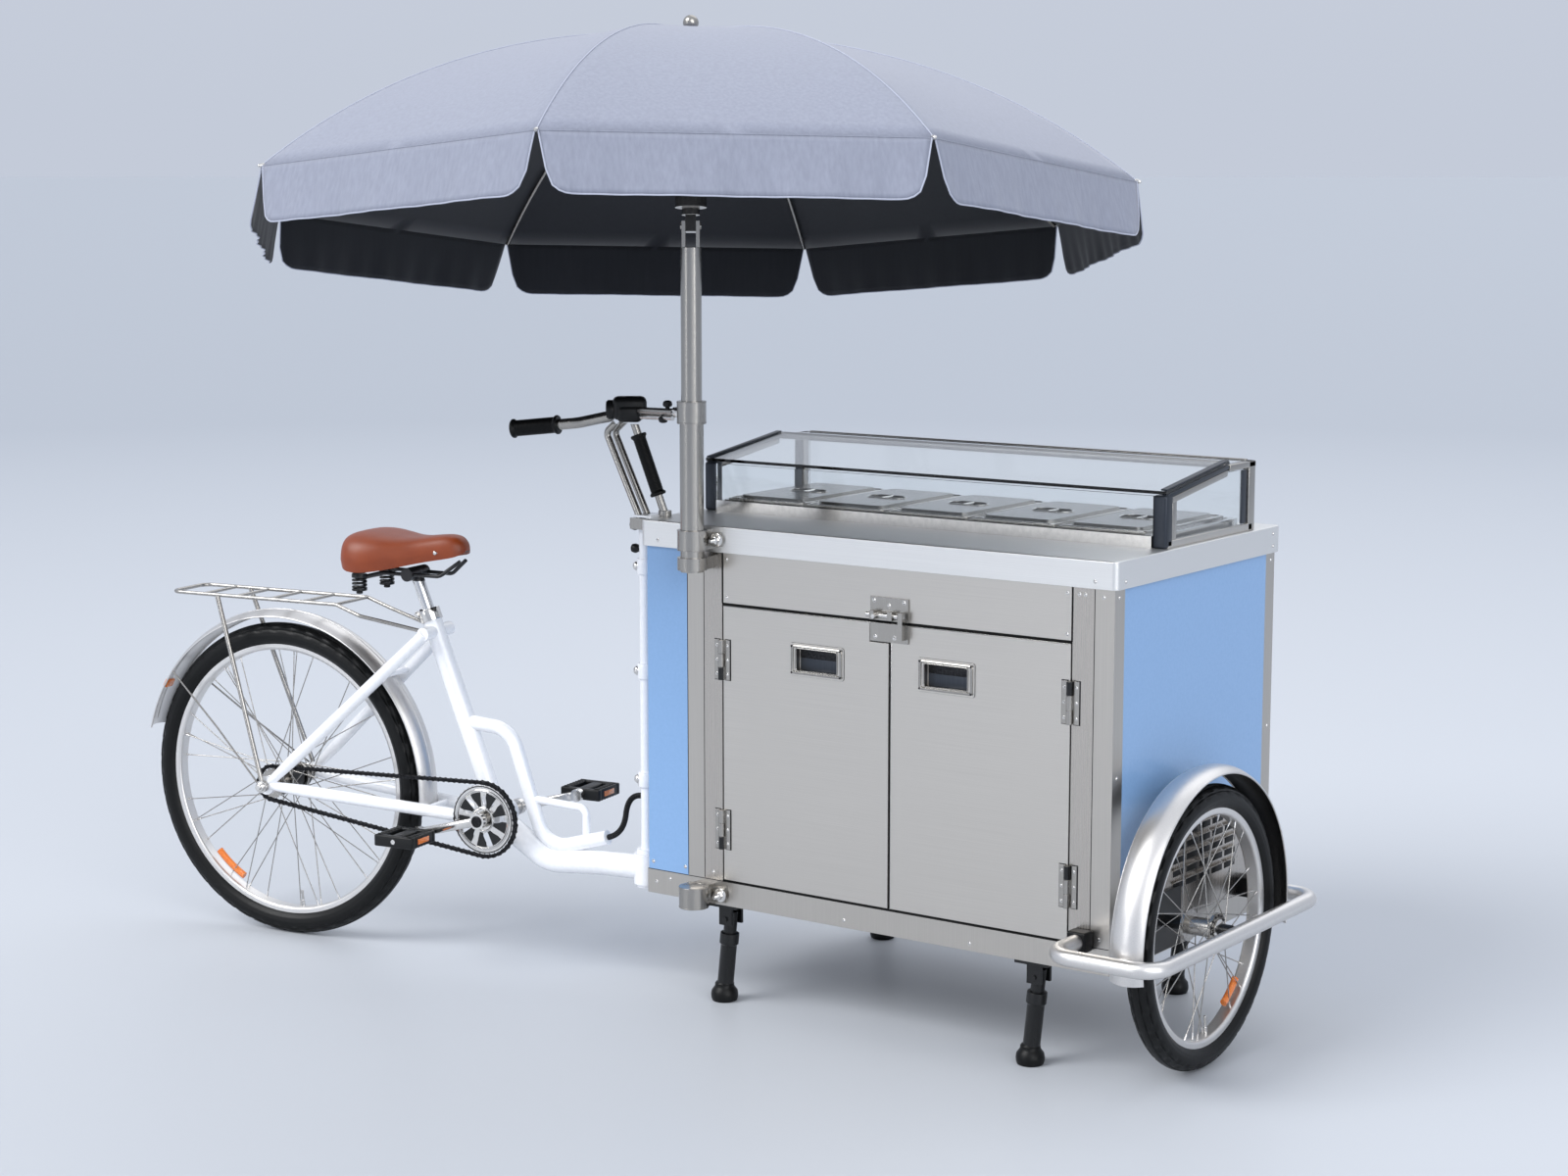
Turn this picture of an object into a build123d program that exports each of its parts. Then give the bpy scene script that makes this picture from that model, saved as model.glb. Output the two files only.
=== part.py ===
from build123d import *

import os
from math import cos, dist, hypot, radians, sin, tan

# Ice cream cart: a stainless vending cabinet under an umbrella, pushed by a cycle rear end
os.makedirs("parts", exist_ok=True)

# Where the cabinet stands: the floor below the middle of the whole cart is the origin
CABINET_LEFT = 8.3
COUNTER_FRONT = 41.0

# Counter and cabinet body
COUNTER_LENGTH = 1060.0
COUNTER_DEPTH = 646.0
COUNTER_TOP = 950.0
COUNTER_EDGE = 51.0
COUNTER_OVERHANG = 8.0
COUNTER_CORNER = 12.0
CABINET_BOTTOM = 202.0
RAIL_HEIGHT = 48.0
RAIL_WIDTH = 36.0
POST_WIDTH = 40.0
STRIP_WIDTH = 102.0
STILE_WIDTH = 44.0
PANEL_THICK = 8.0
WALL_THICK = 40.0
REBATE_DEPTH = 26.0
REBATE_STEP = 14.0
SHELF_HEIGHT = 520.0
SHELF_THICK = 2.0
SHELF_LIP = 18.0
SEAT_GAP = 0.3

# Doors, fascia and their fittings
DOOR_GAP = 3.0
DOOR_THICK = 22.0
FASCIA_HEIGHT = 96.0
PULL_WIDTH = 124.0
PULL_HEIGHT = 63.0
PULL_RIM = 13.0
PULL_DEPTH = 14.0
PULL_SHEET = 1.6
PULL_HEIGHT_ABOVE_FLOOR = 708.0
PULL_FROM_LEFT_HINGE = 221.0
PULL_FROM_RIGHT_HINGE = 262.0
HINGE_HEIGHT = 78.0
HINGE_LEAF = 18.0
HINGE_SHEET = 2.5
HINGE_BARREL = 5.5
HINGE_PIN = 2.5
HINGE_STANDOFF = 6.0
HINGE_KNUCKLE_GAP = 0.3
RUNNING_CLEARANCE = 0.05
HINGE_HEIGHTS = (690.0, 355.0)
LATCH_WIDTH = 84.0
LATCH_SHEET = 3.0
LATCH_UPPER = 44.0
LATCH_LOWER = 36.0
LATCH_BOLT = 5.0
LATCH_BOLT_LENGTH = 70.0
LATCH_TRAVEL = 18.0

# Pans and glass case on the counter
PAN_COUNT = 5
PAN_MARGIN = 55.0
PAN_DEPTH = 65.0
PAN_SHEET = 1.5
PAN_RIM = 9.0
LID_THICK = 2.0
LID_CROWN = 6.0
CURB_HEIGHT = 22.0
CURB_WIDTH = 18.0
CASE_FRONT = 196.0
CASE_DEPTH = 356.0
CASE_END = 10.0
CASE_FRONT_HEIGHT = 97.0
CASE_BACK_HEIGHT = 132.0
CASE_STRIP = 104.0
CASE_BEHIND_PANS = 20.0
CAP_WIDTH = 28.0
FRAME_WIDTH = 14.0
GLASS = 6.0
LID_BAR = 5.0

# Legs under the cabinet
LEG_INSET = 40.0
LEG_FIRST = 190.0
LEG_LAST = 890.0
LEG_PIVOT = 170.0
LEG_RADIUS = 13.0
LEG_PIN = 5.0
LEG_LEAN = 6.0
FOOT_RADIUS = 22.0
FOOT_HEIGHT = 26.0

# Umbrella and its pole
POLE_FROM_LEFT = 155.0
POLE_REACH = 35.0
LOWER_POLE_RADIUS = 23.0
LOWER_POLE_BOTTOM = 863.0
LOWER_POLE_TOP = 1191.0
UPPER_POLE_RADIUS = 20.0
UPPER_POLE_BOTTOM = 905.0
COLLAR_RADIUS = 28.0
COLLAR_HEIGHT = 43.0
CLAMP_WALL = 6.0
CLAMP_EAR = 46.0
CLAMP_EAR_THICK = 5.0
TILT_HEIGHT = 1522.0
TILT_ANGLE = 8.3
TILT_TOWARD = 35.5
RIM_RADIUS = 845.0
RIM_ABOVE_TILT = 52.0
CANOPY_RISE = 305.0
CANOPY_THICK = 2.5
RIB_COUNT = 8
RIB_TURN = 29.8
RIB_RADIUS = 4.0
STRUT_REACH = 430.0
VALANCE_HEIGHT = 105.0
VALANCE_GAP = 9.0
VALANCE_FLARE = 10.0
FINIAL_RADIUS = 15.0

# Front wheel, its axle, fender and bumper
FRONT_RADIUS = 263.0
FRONT_TYRE = 48.0
FRONT_STANDOFF = 75.0
FRONT_FROM_FACE = 205.0
FRONT_SPOKES = 28
AXLE_RADIUS = 7.0
HUB_HALF = 35.0
BUMPER_RADIUS = 15.0
BUMPER_REACH = 150.0
BUMPER_LUG = 9.0
BUMPER_BEND = 45.0
BUMPER_INSET = 60.0
FRONT_FENDER_GAP = 34.0

# Cycle end, measured back from the steering column and up from the floor
COLUMN_BEHIND = 25.0
COLUMN_FROM_FRONT = 49.0
COLUMN_RADIUS = 13.0
COLUMN_TOP = 925.0
COLUMN_BOTTOM = 206.0
STEER_ANGLE = 9.0
REAR_RADIUS = 337.0
REAR_TYRE = 50.0
REAR_SPOKES = 36
WHEEL_BASE = 876.0
REAR_AXLE = 6.0
STAY_SIDE = 80.0
STAY_RADIUS = 13.0
STAY_END_RADIUS = 9.0
STAY_TAPER = 90.0
BEAM_RADIUS = 25.0
LOOP_RADIUS = 15.0
BRACKET_BACK = 352.0
BRACKET_HEIGHT = 312.0
RING_TEETH = 38
SPROCKET_TEETH = 18
CHAIN_LINE = -58.0
CHAIN_WIDTH = 8.0
CHAIN_HEIGHT = 8.0
CHAIN_CLEARANCE = 0.5
CRANK_LENGTH = 150.0
CRANK_ANGLE = 15.0
CRANK_SIDE = 76.0
PEDAL_LENGTH = 92.0
PEDAL_WIDTH = 88.0
PEDAL_THICK = 26.0
SEAT_TUBE_BACK = 514.0
SEAT_TUBE_TOP = 727.0
SEAT_TUBE_RADIUS = 20.0
SEAT_CLAMP_WALL = 2.5
SEAT_CLAMP_HEIGHT = 24.0
POST_RADIUS = 12.7
POST_SHOWN = 78.0
POST_INSIDE = 130.0
FENDER_GAP = 27.0
FENDER_SHEET = 2.0
FENDER_HALF = 32.0
RACK_ABOVE_FENDER = 29.0
RACK_REAR = 1130.0
RACK_FRONT = 705.0
RACK_HALF = 58.0
RACK_WIRE = 4.0
RACK_STRUT_BACK = 1010.0
SPRING_BACK = 650.0
SPRING_SIDE = 50.0


def write(piece, name):
    """Label one finished piece and write it to its own file."""
    piece.label = name
    export_step(piece, f"parts/{name}.step")


def box_between(low, high, mode=Mode.ADD):
    """A box from one corner to the opposite one, in the part that is open."""
    size = [b - a for a, b in zip(low, high)]
    middle = tuple((a + b) / 2 for a, b in zip(low, high))
    with Locations(middle):
        Box(*size, mode=mode)


def rod_between(start, end, radius, mode=Mode.ADD):
    """A round bar from one point to another, in the part that is open."""
    axis = Vector(*end) - Vector(*start)
    with BuildSketch(Plane(origin=start, z_dir=axis)) as section:
        Circle(radius)
    extrude(section.sketch, amount=axis.length, mode=mode)


def tube_along(points, bend, radius, mode=Mode.ADD):
    """A bent tube along straight runs with tangent arcs, in the part that is open."""
    with BuildLine() as route:
        FilletPolyline(*points, radius=bend)
    with BuildSketch(Plane(origin=route.line @ 0, z_dir=route.line % 0)) as section:
        Circle(radius)
    sweep(section.sketch, path=route.line, mode=mode)


def taper_between(start, end, first, last):
    """A round bar that narrows from one radius to another, in the part that is open."""
    axis = Vector(*end) - Vector(*start)
    with Locations(Plane(origin=start, z_dir=axis).location):
        Cone(first, last, axis.length, align=(Align.CENTER, Align.CENTER, Align.MIN))


# Places that several pieces share
def across(value):
    """X of a point measured from the counter's left end."""
    return CABINET_LEFT + value


def deep(value):
    """Y of a point measured from the counter's front edge."""
    return COUNTER_FRONT + value


COUNTER_UNDER = COUNTER_TOP - COUNTER_EDGE
BODY_LEFT = across(COUNTER_OVERHANG)
BODY_RIGHT = across(COUNTER_LENGTH - COUNTER_OVERHANG)
FACE = deep(COUNTER_OVERHANG)
BODY_BACK = deep(COUNTER_DEPTH - COUNTER_OVERHANG)
RAIL_TOP = CABINET_BOTTOM + RAIL_HEIGHT
POST_LEFT = BODY_LEFT + STRIP_WIDTH
CARCASS_LEFT = POST_LEFT + POST_WIDTH
CARCASS_RIGHT = BODY_RIGHT - POST_WIDTH
CARCASS_BACK = BODY_BACK - RAIL_WIDTH
OPENING_LEFT = CARCASS_LEFT + STILE_WIDTH
OPENING_RIGHT = CARCASS_RIGHT - STILE_WIDTH
CAVITY_LEFT = OPENING_LEFT + REBATE_STEP
CAVITY_RIGHT = OPENING_RIGHT - REBATE_STEP
CAVITY_BACK = CARCASS_BACK - WALL_THICK
CAVITY_FLOOR = RAIL_TOP + WALL_THICK
FASCIA_TOP = COUNTER_UNDER - DOOR_GAP
FASCIA_BOTTOM = FASCIA_TOP - FASCIA_HEIGHT
DOOR_TOP = FASCIA_BOTTOM - DOOR_GAP
DOOR_BOTTOM = RAIL_TOP + DOOR_GAP
DOOR_MIDDLE = (OPENING_LEFT + OPENING_RIGHT) / 2
HINGE_LEFT = OPENING_LEFT + DOOR_GAP / 2
HINGE_RIGHT = OPENING_RIGHT - DOOR_GAP / 2
HINGE_Y = FACE - HINGE_STANDOFF

# Cabinet frame: a bottom ring of rail with four welded posts
with BuildPart() as cabinet_frame:
    box_between((BODY_LEFT, FACE, CABINET_BOTTOM), (BODY_RIGHT, BODY_BACK, RAIL_TOP))
    box_between(
        (BODY_LEFT + RAIL_WIDTH, FACE + RAIL_WIDTH, CABINET_BOTTOM),
        (BODY_RIGHT - RAIL_WIDTH, BODY_BACK - RAIL_WIDTH, RAIL_TOP),
        mode=Mode.SUBTRACT,
    )
    for left, front in (
        (POST_LEFT, FACE),
        (CARCASS_RIGHT, FACE),
        (BODY_LEFT, CARCASS_BACK),
        (CARCASS_RIGHT, CARCASS_BACK),
    ):
        box_between((left, front, RAIL_TOP), (left + POST_WIDTH, front + RAIL_WIDTH, COUNTER_UNDER))
write(cabinet_frame.part, "cabinet_frame")

# Carcass: the insulated box, open at the front and into the pan well above
with BuildPart() as carcass:
    box_between((CARCASS_LEFT, FACE, RAIL_TOP), (CARCASS_RIGHT, CARCASS_BACK, COUNTER_UNDER))
    box_between(
        (OPENING_LEFT, FACE, RAIL_TOP),
        (OPENING_RIGHT, FACE + REBATE_DEPTH, COUNTER_UNDER),
        mode=Mode.SUBTRACT,
    )
    box_between(
        (CAVITY_LEFT, FACE, CAVITY_FLOOR),
        (CAVITY_RIGHT, CAVITY_BACK, COUNTER_UNDER),
        mode=Mode.SUBTRACT,
    )
write(carcass.part, "carcass")

# Counter top with the cut-out that the pans hang through
PAN_PITCH = (COUNTER_LENGTH - 2 * PAN_MARGIN) / PAN_COUNT
PAN_LENGTH = CASE_DEPTH - 2 * CURB_WIDTH - CASE_BEHIND_PANS
PAN_WELL_WIDTH = PAN_COUNT * PAN_PITCH
PAN_WELL_LEFT = across(PAN_MARGIN)
PAN_WELL_FRONT = deep(CASE_FRONT) + CURB_WIDTH
PAN_WELL_BACK = PAN_WELL_FRONT + PAN_LENGTH
with BuildPart() as counter:
    box_between(
        (across(0), deep(0), COUNTER_UNDER),
        (across(COUNTER_LENGTH), deep(COUNTER_DEPTH), COUNTER_TOP),
    )
    fillet(counter.edges().filter_by(Axis.Z), COUNTER_CORNER)
    fillet(counter.faces().sort_by(Axis.Z)[-1].edges(), COUNTER_CORNER / 4)
    box_between(
        (PAN_WELL_LEFT, PAN_WELL_FRONT, COUNTER_UNDER),
        (PAN_WELL_LEFT + PAN_WELL_WIDTH, PAN_WELL_BACK, COUNTER_TOP),
        mode=Mode.SUBTRACT,
    )
write(counter.part, "counter")

# Fascia above the doors
with BuildPart() as fascia:
    box_between(
        (OPENING_LEFT + DOOR_GAP, FACE, FASCIA_BOTTOM),
        (OPENING_RIGHT - DOOR_GAP, FACE + REBATE_DEPTH, FASCIA_TOP + DOOR_GAP),
    )
    fillet(fascia.faces().sort_by(Axis.Y)[0].edges().filter_by(Axis.X), 1.5)
write(fascia.part, "fascia")

# Blue side panels: one folded round the near left corner, one on each other side
VENT_ROWS = 6
VENT_SLOT = 9.0
VENT_PITCH = 22.0
VENT_WIDTH = 240.0
VENT_HEIGHT = 340.0
VENT_MIDDLE = deep(320.0)
with BuildPart() as blue_panels:
    box_between((BODY_LEFT, FACE, RAIL_TOP), (POST_LEFT, FACE + PANEL_THICK, COUNTER_UNDER))
    box_between((BODY_LEFT, FACE, RAIL_TOP), (BODY_LEFT + PANEL_THICK, CARCASS_BACK, COUNTER_UNDER))
    fillet(blue_panels.edges().filter_by(Axis.Z).sort_by(lambda e: e.center().X + e.center().Y)[0], 6)
    box_between(
        (BODY_RIGHT - PANEL_THICK, FACE + RAIL_WIDTH, RAIL_TOP),
        (BODY_RIGHT, CARCASS_BACK, COUNTER_UNDER),
    )
    for row in range(VENT_ROWS):
        with Locations((BODY_RIGHT - PANEL_THICK / 2, VENT_MIDDLE, VENT_HEIGHT + row * VENT_PITCH)):
            Box(PANEL_THICK, VENT_WIDTH, VENT_SLOT, mode=Mode.SUBTRACT)
    box_between(
        (BODY_LEFT + POST_WIDTH, BODY_BACK - PANEL_THICK, RAIL_TOP),
        (CARCASS_RIGHT, BODY_BACK, COUNTER_UNDER),
    )
write(blue_panels.part, "blue_panels")

# Shelf with a folded front lip, held between the side walls
with BuildPart() as shelf:
    shelf_front = FACE + REBATE_DEPTH + WALL_THICK
    box_between(
        (CAVITY_LEFT + SEAT_GAP, shelf_front, SHELF_HEIGHT),
        (CAVITY_RIGHT - SEAT_GAP, CAVITY_BACK - SEAT_GAP, SHELF_HEIGHT + SHELF_THICK),
    )
    box_between(
        (CAVITY_LEFT + SEAT_GAP, shelf_front, SHELF_HEIGHT - SHELF_LIP),
        (CAVITY_RIGHT - SEAT_GAP, shelf_front + SHELF_THICK, SHELF_HEIGHT),
    )
write(shelf.part, "shelf")

# Compressor: a domed pot on its base plate, standing on the cavity floor behind the vent
COMPRESSOR_RADIUS = 75.0
COMPRESSOR_HEIGHT = 150.0
COMPRESSOR_BASE = 8.0
COMPRESSOR_X = CAVITY_RIGHT - 110.0
COMPRESSOR_Y = CAVITY_BACK - 110.0
with BuildPart() as compressor:
    with BuildSketch(Plane.XY.offset(CAVITY_FLOOR)):
        with Locations((COMPRESSOR_X, COMPRESSOR_Y)):
            RectangleRounded(2.4 * COMPRESSOR_RADIUS, 2.2 * COMPRESSOR_RADIUS, COMPRESSOR_BASE)
    extrude(amount=COMPRESSOR_BASE)
    with Locations((COMPRESSOR_X, COMPRESSOR_Y, CAVITY_FLOOR + COMPRESSOR_BASE + COMPRESSOR_HEIGHT / 2)):
        Cylinder(COMPRESSOR_RADIUS, COMPRESSOR_HEIGHT)
    fillet(compressor.faces().sort_by(Axis.Z)[-1].edges(), COMPRESSOR_RADIUS * 0.6)
write(compressor.part, "compressor")


# Doors with a pocket for the recessed pull; the left one is cut back behind the latch keeper
def make_door(left, right, pull_middle):
    """A flat door between two edges, with its pull pocket."""
    box_between((left, FACE, DOOR_BOTTOM), (right, FACE + DOOR_THICK, DOOR_TOP))
    with Locations((pull_middle, FACE + PULL_DEPTH / 2, PULL_HEIGHT_ABOVE_FLOOR)):
        Box(PULL_WIDTH - 2 * PULL_RIM, PULL_DEPTH, PULL_HEIGHT - 2 * PULL_RIM + 10, mode=Mode.SUBTRACT)


LEFT_DOOR_PULL = HINGE_LEFT + PULL_FROM_LEFT_HINGE
RIGHT_DOOR_PULL = HINGE_RIGHT - PULL_FROM_RIGHT_HINGE
LEFT_DOOR_EDGE = DOOR_MIDDLE - DOOR_GAP / 2
RIGHT_DOOR_EDGE = DOOR_MIDDLE + DOOR_GAP / 2
KEEPER_BOTTOM = DOOR_TOP - LATCH_LOWER
with BuildPart() as left_door:
    make_door(OPENING_LEFT + DOOR_GAP, LEFT_DOOR_EDGE, LEFT_DOOR_PULL)
    box_between(
        (DOOR_MIDDLE - LATCH_WIDTH / 2 - DOOR_GAP, FACE, KEEPER_BOTTOM - DOOR_GAP),
        (LEFT_DOOR_EDGE, FACE + DOOR_THICK, DOOR_TOP),
        mode=Mode.SUBTRACT,
    )
write(left_door.part, "left_door")
with BuildPart() as right_door:
    make_door(RIGHT_DOOR_EDGE, OPENING_RIGHT - DOOR_GAP, RIGHT_DOOR_PULL)
write(right_door.part, "right_door")


def make_pull(middle):
    """A pressed pull: a flat rim on the door and a cup in its pocket."""
    cup_width = PULL_WIDTH - 2 * PULL_RIM - 2 * SEAT_GAP
    cup_height = PULL_HEIGHT - 2 * PULL_RIM + 10 - 2 * SEAT_GAP
    with BuildSketch(Plane.XZ.offset(-FACE)) as rim:
        with Locations((middle, PULL_HEIGHT_ABOVE_FLOOR)):
            RectangleRounded(PULL_WIDTH, PULL_HEIGHT, 5)
    extrude(rim.sketch, amount=PULL_SHEET)
    cup_low = PULL_HEIGHT_ABOVE_FLOOR - cup_height / 2
    cup_back = FACE + PULL_DEPTH - SEAT_GAP
    box_between(
        (middle - cup_width / 2, FACE - PULL_SHEET, cup_low),
        (middle + cup_width / 2, cup_back, cup_low + cup_height),
    )
    box_between(
        (middle - cup_width / 2 + PULL_SHEET, FACE - PULL_SHEET, cup_low + PULL_SHEET),
        (middle + cup_width / 2 - PULL_SHEET, cup_back - PULL_SHEET, cup_low + cup_height - PULL_SHEET),
        mode=Mode.SUBTRACT,
    )


with BuildPart() as left_pull:
    make_pull(LEFT_DOOR_PULL)
write(left_pull.part, "left_pull")
with BuildPart() as right_pull:
    make_pull(RIGHT_DOOR_PULL)
write(right_pull.part, "right_pull")

# Butt hinges: the cabinet leaf carries the pin, the door leaf turns on it
KNUCKLE = HINGE_HEIGHT / 3
LEAF_START = HINGE_BARREL + 0.7


def hinge_plate(pivot, side, middle):
    """The flat of one leaf, on the side of the pin given by +1 or -1."""
    near, far = sorted((pivot + side * LEAF_START, pivot + side * HINGE_LEAF))
    box_between(
        (near, FACE - HINGE_SHEET, middle - HINGE_HEIGHT / 2),
        (far, FACE, middle + HINGE_HEIGHT / 2),
    )


def hinge_knuckle(pivot, side, low, high):
    """One knuckle and the tongue that joins it to its leaf."""
    near, far = sorted((pivot, pivot + side * LEAF_START))
    box_between((near, FACE - HINGE_STANDOFF, low), (far, FACE - HINGE_SHEET / 4, high))
    rod_between((pivot, HINGE_Y, low), (pivot, HINGE_Y, high), HINGE_BARREL)


def cabinet_leaf(pivot, side, middle):
    """A cabinet leaf with the middle knuckle and the pin."""
    hinge_plate(pivot, side, middle)
    half = KNUCKLE / 2 - HINGE_KNUCKLE_GAP
    hinge_knuckle(pivot, side, middle - half, middle + half)
    end = HINGE_HEIGHT / 2
    rod_between((pivot, HINGE_Y, middle - end), (pivot, HINGE_Y, middle + end), HINGE_PIN)


def door_leaf(pivot, side, middle):
    """A door leaf with the two outer knuckles, bored for the pin."""
    hinge_plate(pivot, side, middle)
    for low in (middle - HINGE_HEIGHT / 2, middle + KNUCKLE / 2):
        hinge_knuckle(pivot, side, low, low + KNUCKLE)
    end = HINGE_HEIGHT / 2
    rod_between(
        (pivot, HINGE_Y, middle - end),
        (pivot, HINGE_Y, middle + end),
        HINGE_PIN + RUNNING_CLEARANCE,
        mode=Mode.SUBTRACT,
    )


with BuildPart() as hinge_cabinet_leaves:
    for height in HINGE_HEIGHTS:
        cabinet_leaf(HINGE_LEFT, -1, height)
        cabinet_leaf(HINGE_RIGHT, 1, height)
write(hinge_cabinet_leaves.part, "hinge_cabinet_leaves")
with BuildPart() as hinge_left_leaves:
    for height in HINGE_HEIGHTS:
        door_leaf(HINGE_LEFT, 1, height)
write(hinge_left_leaves.part, "hinge_left_leaves")
with BuildPart() as hinge_right_leaves:
    for height in HINGE_HEIGHTS:
        door_leaf(HINGE_RIGHT, -1, height)
write(hinge_right_leaves.part, "hinge_right_leaves")

# Latch: a plate with two guides on the fascia, a keeper on the right door and a sliding bolt
BOLT_Y = FACE - LATCH_SHEET - 7.0
BOLT_Z = FASCIA_BOTTOM + 12.0
GUIDE_HALF = 8.0
GUIDE_PLACES = (DOOR_MIDDLE - 30.0, DOOR_MIDDLE + 10.0)
LOOP_PLACE = DOOR_MIDDLE + 33.0
LOOP_HALF = 5.0
with BuildPart() as latch_plate:
    box_between(
        (DOOR_MIDDLE - LATCH_WIDTH / 2, FACE - LATCH_SHEET, FASCIA_BOTTOM + 1),
        (DOOR_MIDDLE + LATCH_WIDTH / 2, FACE, FASCIA_BOTTOM + 1 + LATCH_UPPER),
    )
    for place in GUIDE_PLACES:
        box_between(
            (place - LOOP_HALF, BOLT_Y - GUIDE_HALF, BOLT_Z - GUIDE_HALF),
            (place + LOOP_HALF, FACE - LATCH_SHEET, BOLT_Z + GUIDE_HALF),
        )
    rod_between(
        (DOOR_MIDDLE - LATCH_WIDTH, BOLT_Y, BOLT_Z),
        (DOOR_MIDDLE + LATCH_WIDTH, BOLT_Y, BOLT_Z),
        LATCH_BOLT + RUNNING_CLEARANCE,
        mode=Mode.SUBTRACT,
    )
write(latch_plate.part, "latch_plate")
with BuildPart() as latch_keeper:
    box_between(
        (DOOR_MIDDLE - LATCH_WIDTH / 2, FACE - LATCH_SHEET, KEEPER_BOTTOM),
        (DOOR_MIDDLE + LATCH_WIDTH / 2, FACE, DOOR_TOP - 1),
    )
    box_between(
        (LOOP_PLACE - LOOP_HALF, BOLT_Y - GUIDE_HALF, KEEPER_BOTTOM + 8),
        (LOOP_PLACE + LOOP_HALF, FACE - LATCH_SHEET - SEAT_GAP, BOLT_Z + GUIDE_HALF),
    )
    box_between(
        (LOOP_PLACE - LOOP_HALF, FACE - 2 * LATCH_SHEET, KEEPER_BOTTOM + 8),
        (LOOP_PLACE + LOOP_HALF, FACE, DOOR_TOP - 1),
    )
    window = LATCH_BOLT + 2 * SEAT_GAP
    box_between(
        (LOOP_PLACE - 2 * LOOP_HALF, BOLT_Y - window, BOLT_Z - window),
        (LOOP_PLACE + 2 * LOOP_HALF, BOLT_Y + window, BOLT_Z + window),
        mode=Mode.SUBTRACT,
    )
write(latch_keeper.part, "latch_keeper")
BOLT_END = LOOP_PLACE - LOOP_HALF - 3.0
with BuildPart() as latch_bolt:
    rod_between((BOLT_END - LATCH_BOLT_LENGTH, BOLT_Y, BOLT_Z), (BOLT_END, BOLT_Y, BOLT_Z), LATCH_BOLT)
    knob = (GUIDE_PLACES[0] + GUIDE_PLACES[1]) / 2 - LATCH_TRAVEL / 2
    rod_between((knob, BOLT_Y, BOLT_Z), (knob, BOLT_Y - 20, BOLT_Z), 4)
write(latch_bolt.part, "latch_bolt")

# Pans: a curb round the cut-out and five pans that hang in it by their rims
CURB_TOP = COUNTER_TOP + CURB_HEIGHT
PAN_MIDDLE_Y = (PAN_WELL_FRONT + PAN_WELL_BACK) / 2
PAN_PLACES = [PAN_WELL_LEFT + (k + 0.5) * PAN_PITCH for k in range(PAN_COUNT)]
PAN_WIDTH = PAN_PITCH - 2.0
TUB_WIDTH = PAN_WIDTH - PAN_RIM
TUB_LENGTH = PAN_LENGTH - 6.0
with BuildPart() as pans:
    with Locations((across(COUNTER_LENGTH / 2), PAN_MIDDLE_Y, COUNTER_TOP + CURB_HEIGHT / 2)):
        Box(PAN_WELL_WIDTH + 2 * (CURB_WIDTH - 2.5), PAN_LENGTH + 2 * CURB_WIDTH, CURB_HEIGHT)
        Box(PAN_WELL_WIDTH, PAN_LENGTH, CURB_HEIGHT, mode=Mode.SUBTRACT)
    for place in PAN_PLACES:
        with Locations((place, PAN_MIDDLE_Y, CURB_TOP + SEAT_GAP + PAN_SHEET / 2)):
            Box(PAN_WIDTH, PAN_LENGTH + 2 * PAN_RIM, PAN_SHEET)
        with Locations((place, PAN_MIDDLE_Y, CURB_TOP + SEAT_GAP + PAN_SHEET - PAN_DEPTH / 2)):
            Box(TUB_WIDTH, TUB_LENGTH, PAN_DEPTH)
        with Locations((place, PAN_MIDDLE_Y, CURB_TOP + SEAT_GAP + 2 * PAN_SHEET - PAN_DEPTH / 2)):
            Box(TUB_WIDTH - 2 * PAN_SHEET, TUB_LENGTH - 2 * PAN_SHEET, PAN_DEPTH, mode=Mode.SUBTRACT)
write(pans.part, "pans")

# Pan lids: a plate with a raised panel, a finger recess and a bar across it
LID_BOTTOM = CURB_TOP + 2 * SEAT_GAP + PAN_SHEET
LID_TOP = LID_BOTTOM + LID_THICK + LID_CROWN
LID_RECESS = 5.0
for number, place in enumerate(PAN_PLACES, start=1):
    with BuildPart() as pan_lid:
        with BuildSketch(Plane.XY.offset(LID_BOTTOM)):
            with Locations((place, PAN_MIDDLE_Y)):
                RectangleRounded(PAN_WIDTH - 4, PAN_LENGTH + PAN_RIM, 10)
        extrude(amount=LID_THICK)
        with BuildSketch(Plane.XY.offset(LID_BOTTOM + LID_THICK)):
            with Locations((place, PAN_MIDDLE_Y)):
                RectangleRounded(PAN_WIDTH - 34, PAN_LENGTH - 24, 16)
        extrude(amount=LID_CROWN, taper=30)
        with BuildSketch(Plane.XY.offset(LID_TOP)):
            with Locations((place, PAN_MIDDLE_Y)):
                SlotOverall(84, 44)
        extrude(amount=-LID_RECESS, mode=Mode.SUBTRACT)
        rod_between(
            (place, PAN_MIDDLE_Y - 24, LID_TOP - LID_RECESS / 2),
            (place, PAN_MIDDLE_Y + 24, LID_TOP - LID_RECESS / 2),
            3.5,
        )
    write(pan_lid.part, f"pan_lid_{number}")

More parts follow.
